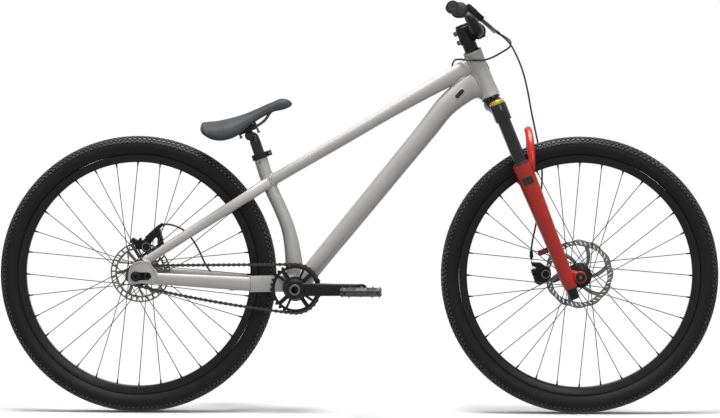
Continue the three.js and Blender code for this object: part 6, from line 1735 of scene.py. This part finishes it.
@dataclass
class Seat:
    """Saddle with its rails, clamp and seatpost."""
    tail: Vector = field(default_factory=lambda: Vector((-392.1, 0, 702.96)))
    lean: float = radians(14.1)
    length: float = 236
    half_width: float = 68
    drop: float = 38
    round_tail: float = 8
    round_nose: float = 7
    clamp_centre: Vector = field(default_factory=lambda: Vector((-276.1, 0, 705.96)))
    clamp_lean: float = radians(21.5)
    head: Vector = field(default_factory=lambda: Vector((-270.1, 0, 690.72)))
    shapes: tuple[tuple[float, float, float, float], ...] = ((0, 0.62, 0.27, -0.14), (0.03, 0.86, 0.43, -0.3),
        (0.09, 0.97, 0.42, -0.66), (0.19, 1, 0.33, -0.95), (0.28, 0.97, 0.3, -1), (0.37, 0.84, 0.3, -0.92),
        (0.49, 0.6, 0.34, -0.55), (0.64, 0.4, 0.48, -0.2), (0.79, 0.31, 0.64, 0.02),
        (0.93, 0.27, 0.68, 0.02), (1, 0.16, 0.42, 0.12))

    def at(self, along: float, up: float, across: float = 0) -> Vector:
        """Place along and above the saddle's line from its tail."""
        ahead = heading(self.lean)
        return self.tail + ahead * along + square_to(ahead) * up + ACROSS * across

    def layer(self, outer: float, inner: float, low: int, high: int, rings: int, groove: float = 0) -> Object:
        """Roll an arched layer of the saddle.

        Args:
            outer: How far its outer face lies under the saddle's surface.
            inner: How far its inner face lies under it.
            low: First of the sections it spans.
            high: One past the last of them.
            rings: Number of rings.
            groove: Depth of the line along its lower edge.

        Returns:
            The new object.
        """
        rows = [(share * self.length, 0, 0, self.half_width * width, self.drop * top, self.drop * edge)
            for share, width, top, edge in self.shapes[low:high]]
        data = resample(rows, rings * 4)
        picks = [round((rings * 4 - 1) * (0.5 - 0.5 * cos(pi * k / (rings - 1)))) for k in range(rings)]
        result = []
        for number, (along, _, _, half, rise, edge) in enumerate((data[pick] for pick in picks)):
            thin = min(1, 0.35 + half / self.half_width)
            if groove:
                near = min(1, (along - data[0][0]) / self.round_tail, (data[-1][0] - along) / self.round_nose)
                round_end = max(0.1, sqrt(1 - (1 - near) ** 2))
                middle = 0.5 * (rise + edge)
                half, thin = (half * (0.3 + 0.7 * round_end), thin * round_end)
                rise, edge = (middle + (rise - middle) * round_end, middle + (edge - middle) * round_end)
            taper = min(1, number / 3.5, (rings - 1 - number) / 3.5)
            points = []
            for less, angles in ((outer * thin, np.linspace(-90, 90, 45)),
                    (inner * thin, np.linspace(90, -90, 29))):
                for degrees in angles:
                    angle = radians(degrees)
                    sunk = less
                    if less == outer * thin and groove:
                        sunk += groove * exp(-((abs(degrees) - 71) / 3.2) ** 2)
                        sunk -= 0.9 * taper * cos(angle) ** 2
                    base = edge + sunk * 0.15
                    up = base + (rise - sunk - base) * max(cos(angle), 0) ** 0.75
                    points.append(self.at(along, up, (half - sunk * 0.8) * sin(angle)))
            result.append(points)
        return rolled(result)

    def saddle(self) -> None:
        """Build the padded cover, its base and the rails."""
        cushion = self.layer(0, 12, 0, 11, 84, 0.7)
        pad = dress("saddle_cushion", cushion, COVER, "saddle", "saddle_pad", angle=50)
        smooth = pad.modifiers.new("soften", "SMOOTH")
        smooth.factor, smooth.iterations = 0.5, 2
        choose(pad)
        bpy.ops.object.modifier_apply(modifier=smooth.name)
        base = self.layer(12.7, 15.4, 1, 10, 50)
        ahead_share = (self.clamp_centre - self.tail).dot(self.at(1, 0) - self.tail) / self.length
        up_share = (self.clamp_centre - self.tail).dot(self.at(0, 1) - self.tail) / self.drop
        slope = tan(self.clamp_lean - self.lean) * self.length / self.drop
        shares = [(0.1, -0.06, 1.15), (0.18, -0.42, 1.1), (0.3, -0.86, 1), (0.42, -0.82, 1), (0.6, -0.66, 1),
            (0.68, -0.36, 0.8), (0.76, 0.06, 0.5), (0.84, 0.33, 0.3)]
        straight = [(ahead_share + shift, up_share + slope * shift, 1) for shift in (-0.12, 0, 0.12)]
        shares = sorted(straight + [row for row in shares if abs(row[0] - ahead_share) > 0.14])
        rails = []
        for side in (-1, 1):
            rails.append(tube([tuple(self.at(along * self.length, up * self.drop, side * wide * 22))
                for along, up, wide in shares], 3.4, 70, 16))
        dress("saddle_rails", rails, DARK_METAL, "saddle")
        along, up, wide = shares[0]
        along, up = along * self.length, up * self.drop
        sockets = [sweep_bar(self.at(along, up - 3, across), self.at(along + 12, up + 5, across), 9, 9)
            for across in (-wide * 22, wide * 22)]
        nose = sweep_bar(self.at(0.8 * self.length, 0.2 * self.drop), self.at(0.87 * self.length,
            0.34 * self.drop), 22, 9)
        dress("saddle_underside", [base, nose, *sockets], PLASTIC, "saddle", "saddle_base", angle=45)

    def clamp(self) -> None:
        """Build the clamp with its two bolts."""
        ahead = heading(self.clamp_lean)
        up = square_to(ahead)
        parts = [block((ahead, ACROSS, up), self.clamp_centre + up * 4.1, (47, 53.4, 5.6), 2, 3),
            block((ahead, ACROSS, up), self.clamp_centre - up * 3.4, (49.4, 53.6, 6.8), 2, 3)]
        parts += [block((ahead, ACROSS, up), self.clamp_centre + up * 4.6 + ACROSS * y, (38, 3, 7), 1, 2)
            for y in (-13, 0, 13)]
        dress("clamp_jaws", parts, SATIN_BLACK, "saddle", "saddle_clamp", angle=35)
        bolts = []
        for along, down in ((-21.6, -15.2), (22.3, -18)):
            top = self.clamp_centre + ahead * along + up * 7
            foot = self.clamp_centre + ahead * along * 1.05 + up * down
            bolts.append(rod(top, foot, 2.7, sides=16, edge=0.3))
            bolts.append(rod(foot - up * 0.4, foot + up * 4.2, 3.9, sides=20, edge=0.5))
            bolts.append(pin(top, ACROSS * 6, 3.6, sides=20, edge=0.5))
        dress("clamp_bolts", bolts, BOLT_STEEL, "saddle")

    def post(self) -> None:
        """Build the seatpost."""
        tube_piece = turned(PLACE.seat_top, PLACE.post_up, [(11.4, -83.8), (13.1, -83.8), (13.6, -83.2),
            (13.6, 33), (13.2, 36.5), (11.6, 39.4), (8, 40), (0.01, 40), (0.01, 30), (11.4, 28)], 56)
        neck = rolled(sections([(*PLACE.post(26), 12.9, 12.9, 1), (*PLACE.post(36), 12.2, 12.6, 0.95),
            (*PLACE.post(43, 1.2), 10.4, 11.6, 0.85), (*self.head, 10.6, 10.4, 0.8)], 24, 36))
        ears = pin(self.head, ACROSS * 13.3, 12.3, sides=48, edge=1.2)
        dress("seatpost_body_tube", [tube_piece, neck, ears], GLOSS_BLACK, "seatpost_body", "seatpost",
            angle=35)

    def build(self) -> None:
        """Build the whole seat."""
        self.saddle()
        self.clamp()
        self.post()


# Brakes


@dataclass
class Brakes:
    """Cable disc brakes: calipers, arms, wires and housings."""
    hose_radius: float = 2.3
    wire_radius: float = 0.85
    rear_route: Rows = REAR_ROUTE
    front_route: Rows = FRONT_ROUTE
    rear_outline: Outline = ((-574.2, 424.5), (-566.7, 433.2), (-556.7, 427),
        (-541.7, 425.7), (-529.3, 438.2), (-516.8, 450.7), (-505.6, 459.4), (-498.1, 454.4), (-494.3, 440.7),
        (-490.1, 425.7), (-496.8, 412), (-505.6, 417), (-504.3, 430.7), (-510.6, 434.5), (-519.3, 423.2),
        (-529.3, 413.3), (-539.2, 403.3), (-556.7, 403.3), (-562.9, 415.8), (-571.7, 419.5))
    front_outline: Outline = ((428.7, 373.6), (453.6, 372.3), (466.1, 363.6),
        (478.6, 356.1), (478.6, 336.2), (468.6, 326.2), (451.1, 317.5), (441.2, 321.2), (434.9, 336.2),
        (443.6, 343.6), (446.1, 358.6), (431.2, 366.1))

    def struts(self) -> None:
        """Build the two arms that carry the rear caliper."""
        arms = [sweep_bar(Vector((x0, 61, z0)), Vector((x1, 61, z1)), 6, width) for x0, z0, x1, z1,
            width in ((-569, 412, -552, 383, 8), (-546, 385, -503, 412, 6.5))]
        dress("caliper_struts", arms, SATIN_BLACK, "frame")

    def caliper(self, word: str, body: str, arm_body: str, outline: Outline,
            bolts: Outline, bridges: Rows,
            reach: tuple[float, float], plane: float, pivot: Vector, arm_end: Vector, route: Rows) -> None:
        """Build a caliper with its adjuster, arm, cable stop and wire.

        Args:
            word: The wheel's name.
            body: Body it rides on.
            arm_body: Body of its arm.
            outline: Its side view.
            bolts: Where its bolts run across.
            bridges: Place, length, depth and lean of what joins its halves.
            reach: Its inner and outer face off the middle plane.
            plane: The disc's middle plane.
            pivot: Arm's pivot at the arm's inner face.
            arm_end: Where the wire meets the arm.
            route: Way of the housing that ends at it.
        """
        route_end = Vector(route[-1])
        towards = (route_end - Vector(route[-2])).normalized()
        low, high = reach
        parts = [prism_block([Vector((x, (near + far) / 2, z)) for x, z in outline], ACROSS, (far - near) / 2)
            for near, far in ((low, plane - 1.9), (plane + 1.9, high))]
        parts += [rod(Vector((x, low - 1.2, z)), Vector((x, high + 0.4, z)), 3.4, sides=20, edge=0.6) for x,
            z in bolts]
        parts += [block((heading(lean), ACROSS, square_to(heading(lean))), Vector((x, (low + high) / 2, z)),
            (long, high - low - 0.4, deep), 1.5, 3) for x, z, long, deep, lean in bridges]
        stop_start = route_end - towards * 16
        parts.append(rod(stop_start, route_end + towards * 1.5, 4.2, 5, 24, 0.8))
        parts.append(rod(route_end + towards * 1.5, route_end + towards * 8, 3.4, 2.6, 20, 0.5))
        dress(f"{word}_caliper_body", parts, SATIN_BLACK, body, f"{word}_caliper", angle=38)
        inner = pivot - ACROSS * 37
        adjuster = turned(inner, -ACROSS, [(0.01, -6), (13.2, -6), (13.6, -1.4), (12.8, 0), (11.2, 0.1),
            (10.8, -0.7), (3.4, -0.7), (3, 0.3), (0.01, 0.3)], 48)
        ring_piece = turned(inner, -ACROSS, [(9.4, -1), (10.6, -1), (10.6, 0.2), (9.4, 0.2)], 48)
        dress(f"{word}_pad_adjuster", adjuster, SATIN_BLACK, body)
        dress(f"{word}_adjuster_ring", ring_piece, WIRE, body)
        middle = ACROSS * 2
        arm = sweep_bar(pivot + middle, arm_end + middle, 3.8, 10)
        boss = turned(pivot, ACROSS, [(0.01, 0.1), (9.6, 0.1), (10, 0.6), (10, 3.4), (9.6, 3.9), (0.01, 3.9)],
            40)
        anchor = rod(arm_end + ACROSS * 0.1, arm_end + ACROSS * 5.5, 3.4, sides=20, edge=0.4)
        dress(f"{word}_arm_lever", [arm, boss, anchor], DARK_METAL, arm_body, f"{word}_caliper_arm", angle=35)
        ends = (route_end + towards * 7, arm_end + ACROSS * 2.5)
        wire = tube([tuple(ends[0].lerp(ends[1], share)) for share in (0, 0.25, 0.5, 0.75, 1)],
            self.wire_radius, 24, 10)
        dress(f"{word}_bare_wire", wire, WIRE, body, ride=False)
        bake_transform(wire)

    def housings(self) -> None:
        """Lay both cable housings."""
        rear = tube(self.rear_route, self.hose_radius, 620, 12)
        dress("rear_housing", rear, HOUSING, "frame", "rear_brake_hose", ride=False)
        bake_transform(rear)
        front = tube(self.front_route, self.hose_radius, 330, 12)
        dress("front_housing", front, HOUSING, "steering", "front_brake_cable", ride=False)
        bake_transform(front)

    def build(self) -> None:
        """Build both brakes and their housings."""
        self.caliper("front", "lowers", "front_arm", self.front_outline, ((470, 354), (447, 325), (436, 369)),
            ((441, 352, 22, 12, 0.3), (446, 327, 14, 12, 0.9)), (28.9, 60.5), 38,
            Vector((465.94, 61.4, 345)), Vector((436.7, 61.4, 342.4)), self.front_route)
        self.caliper("rear", "frame", "rear_arm", self.rear_outline, ((-567, 426), (-547.7, 429),
            (-497, 430)), ((-517, 444, 42, 12, 0.74), (-497, 428, 26, 9, 1.9), (-556, 423.5, 26, 6, 0)),
            (38.3, 57.9), 52, Vector((-531.25, 58.7, 411)), Vector((-551.5, 58.7, 417)),
            self.rear_route)
        self.struts()
        self.housings()


# Studio


@dataclass
class Studio:
    """Floor, lamps, world and camera of the photograph."""

    eye: tuple[float, float, float] = (0.196, -8.0, 0.9794)
    yaw: float = radians(-1.380)
    pitch: float = radians(3.369)
    roll: float = radians(0.04)
    focal: float = 161.3
    fill: float = 0.2
    bounce: float = 0.25

    def camera(self) -> None:
        """Set the camera where the photograph was taken."""
        ahead = Vector((sin(self.yaw) * cos(self.pitch), cos(self.yaw) * cos(self.pitch), -sin(self.pitch)))
        right = ahead.cross(UPRIGHT).normalized()
        up = right.cross(ahead)
        data = bpy.data.cameras.new("camera")
        data.lens, data.sensor_width, data.sensor_fit = self.focal, 36, "HORIZONTAL"
        data.clip_end = 100
        camera = bpy.data.objects.new("camera", data)
        bpy.context.scene.collection.objects.link(camera)
        turn = Matrix((right, up, -ahead)).transposed().to_4x4() @ Matrix.Rotation(self.roll, 4, "Z")
        camera.matrix_world = Matrix.Translation(self.eye) @ turn
        bpy.context.scene.camera = camera

    def floor(self) -> None:
        """Lay the pale floor that keeps the soft shadow."""
        deselect()
        bpy.ops.mesh.primitive_grid_add(x_subdivisions=40, y_subdivisions=40, size=60)
        floor = bpy.context.object
        floor.name = "studio_floor"
        made = bpy.data.materials.new("studio_floor")
        graph = Graph.emptied(made)
        bright = graph.add("ShaderNodeEmission", {"Color": (1, 1, 1, 1), "Strength": 1.0})
        parts = graph.add("ShaderNodeSeparateXYZ", {0: graph.spot()}).outputs
        ends = graph.math("SUBTRACT", graph.math("ABSOLUTE", parts["X"]), 0.95)
        far = graph.math("MAXIMUM", graph.math("ABSOLUTE", parts["Y"]), ends)
        rays = graph.add("ShaderNodeLightPath").outputs
        tone = graph.span(rays["Is Camera Ray"], 0, 1, self.bounce, 0.9)
        surface = graph.add("ShaderNodeBsdfDiffuse", {"Color": tone})
        mirrored_ray = graph.math("MAXIMUM", rays["Is Glossy Ray"], rays["Is Transmission Ray"])
        seen = graph.math("MULTIPLY", graph.span(far, 0.14, 0.4), rays["Is Camera Ray"])
        white = graph.math("MAXIMUM", seen, mirrored_ray)
        mixed = graph.add("ShaderNodeMixShader", {0: white, 1: surface.outputs[0], 2: bright.outputs[0]})
        graph.add("ShaderNodeOutputMaterial", {"Surface": mixed.outputs[0]})
        floor.data.materials.append(made)

    def world(self) -> None:
        """Light everything softly, with white where the camera or a reflection looks."""
        world = bpy.data.worlds.new("studio")
        bpy.context.scene.world = world
        graph = Graph.emptied(world)
        rays = graph.add("ShaderNodeLightPath").outputs
        seen = graph.math("MAXIMUM", graph.math("MAXIMUM", rays["Is Camera Ray"], rays["Is Glossy Ray"]),
                          rays["Is Transmission Ray"])
        strength = graph.span(seen, 0, 1, self.fill, 1.0)
        shade = graph.add("ShaderNodeBackground", {"Color": (1, 1, 1, 1), "Strength": strength})
        graph.add("ShaderNodeOutputWorld", {"Surface": shade.outputs[0]})

    def lamp(self, name: str, place: tuple[float, float, float], size: float, power: float) -> None:
        """Hang a square area lamp that looks at the bike's middle.

        Args:
            name: The lamp's name.
            place: Where it hangs, in metres.
            size: Side of its square.
            power: Its power in watts.
        """
        data = bpy.data.lights.new(name, "AREA")
        data.size, data.energy = size, power
        lamp = bpy.data.objects.new(name, data)
        bpy.context.scene.collection.objects.link(lamp)
        lamp.location = place
        lamp.rotation_euler = (Vector((0, 0, 0.5)) - Vector(place)).to_track_quat("-Z", "Y").to_euler()

    def build(self) -> None:
        """Build the whole studio."""
        bpy.context.scene.view_settings.view_transform = "Standard"
        self.camera()
        self.floor()
        self.world()
        self.lamp("overhead", (-0.2, -0.4, 4.2), 2.0, 270)
        self.lamp("front_soft", (1.8, -5.6, 4.2), 2.2, 105)


def main() -> None:
    """Build the bike, dress it and set up its studio."""
    logging.basicConfig(level=logging.INFO, format="%(name)s %(message)s")
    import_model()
    Studio().build()
    Wheel("front", PLACE.front_axle, 50, (35, 25), 40.5, 38, 86).build()
    Wheel("rear", PLACE.rear_axle, 67.5, (30, 34), 55.1, 52, 75).build()
    for assembly in (FrameSet, Fork, Cockpit, Drive, Seat, Brakes):
        assembly().build()


if __name__ == "__main__":
    main()
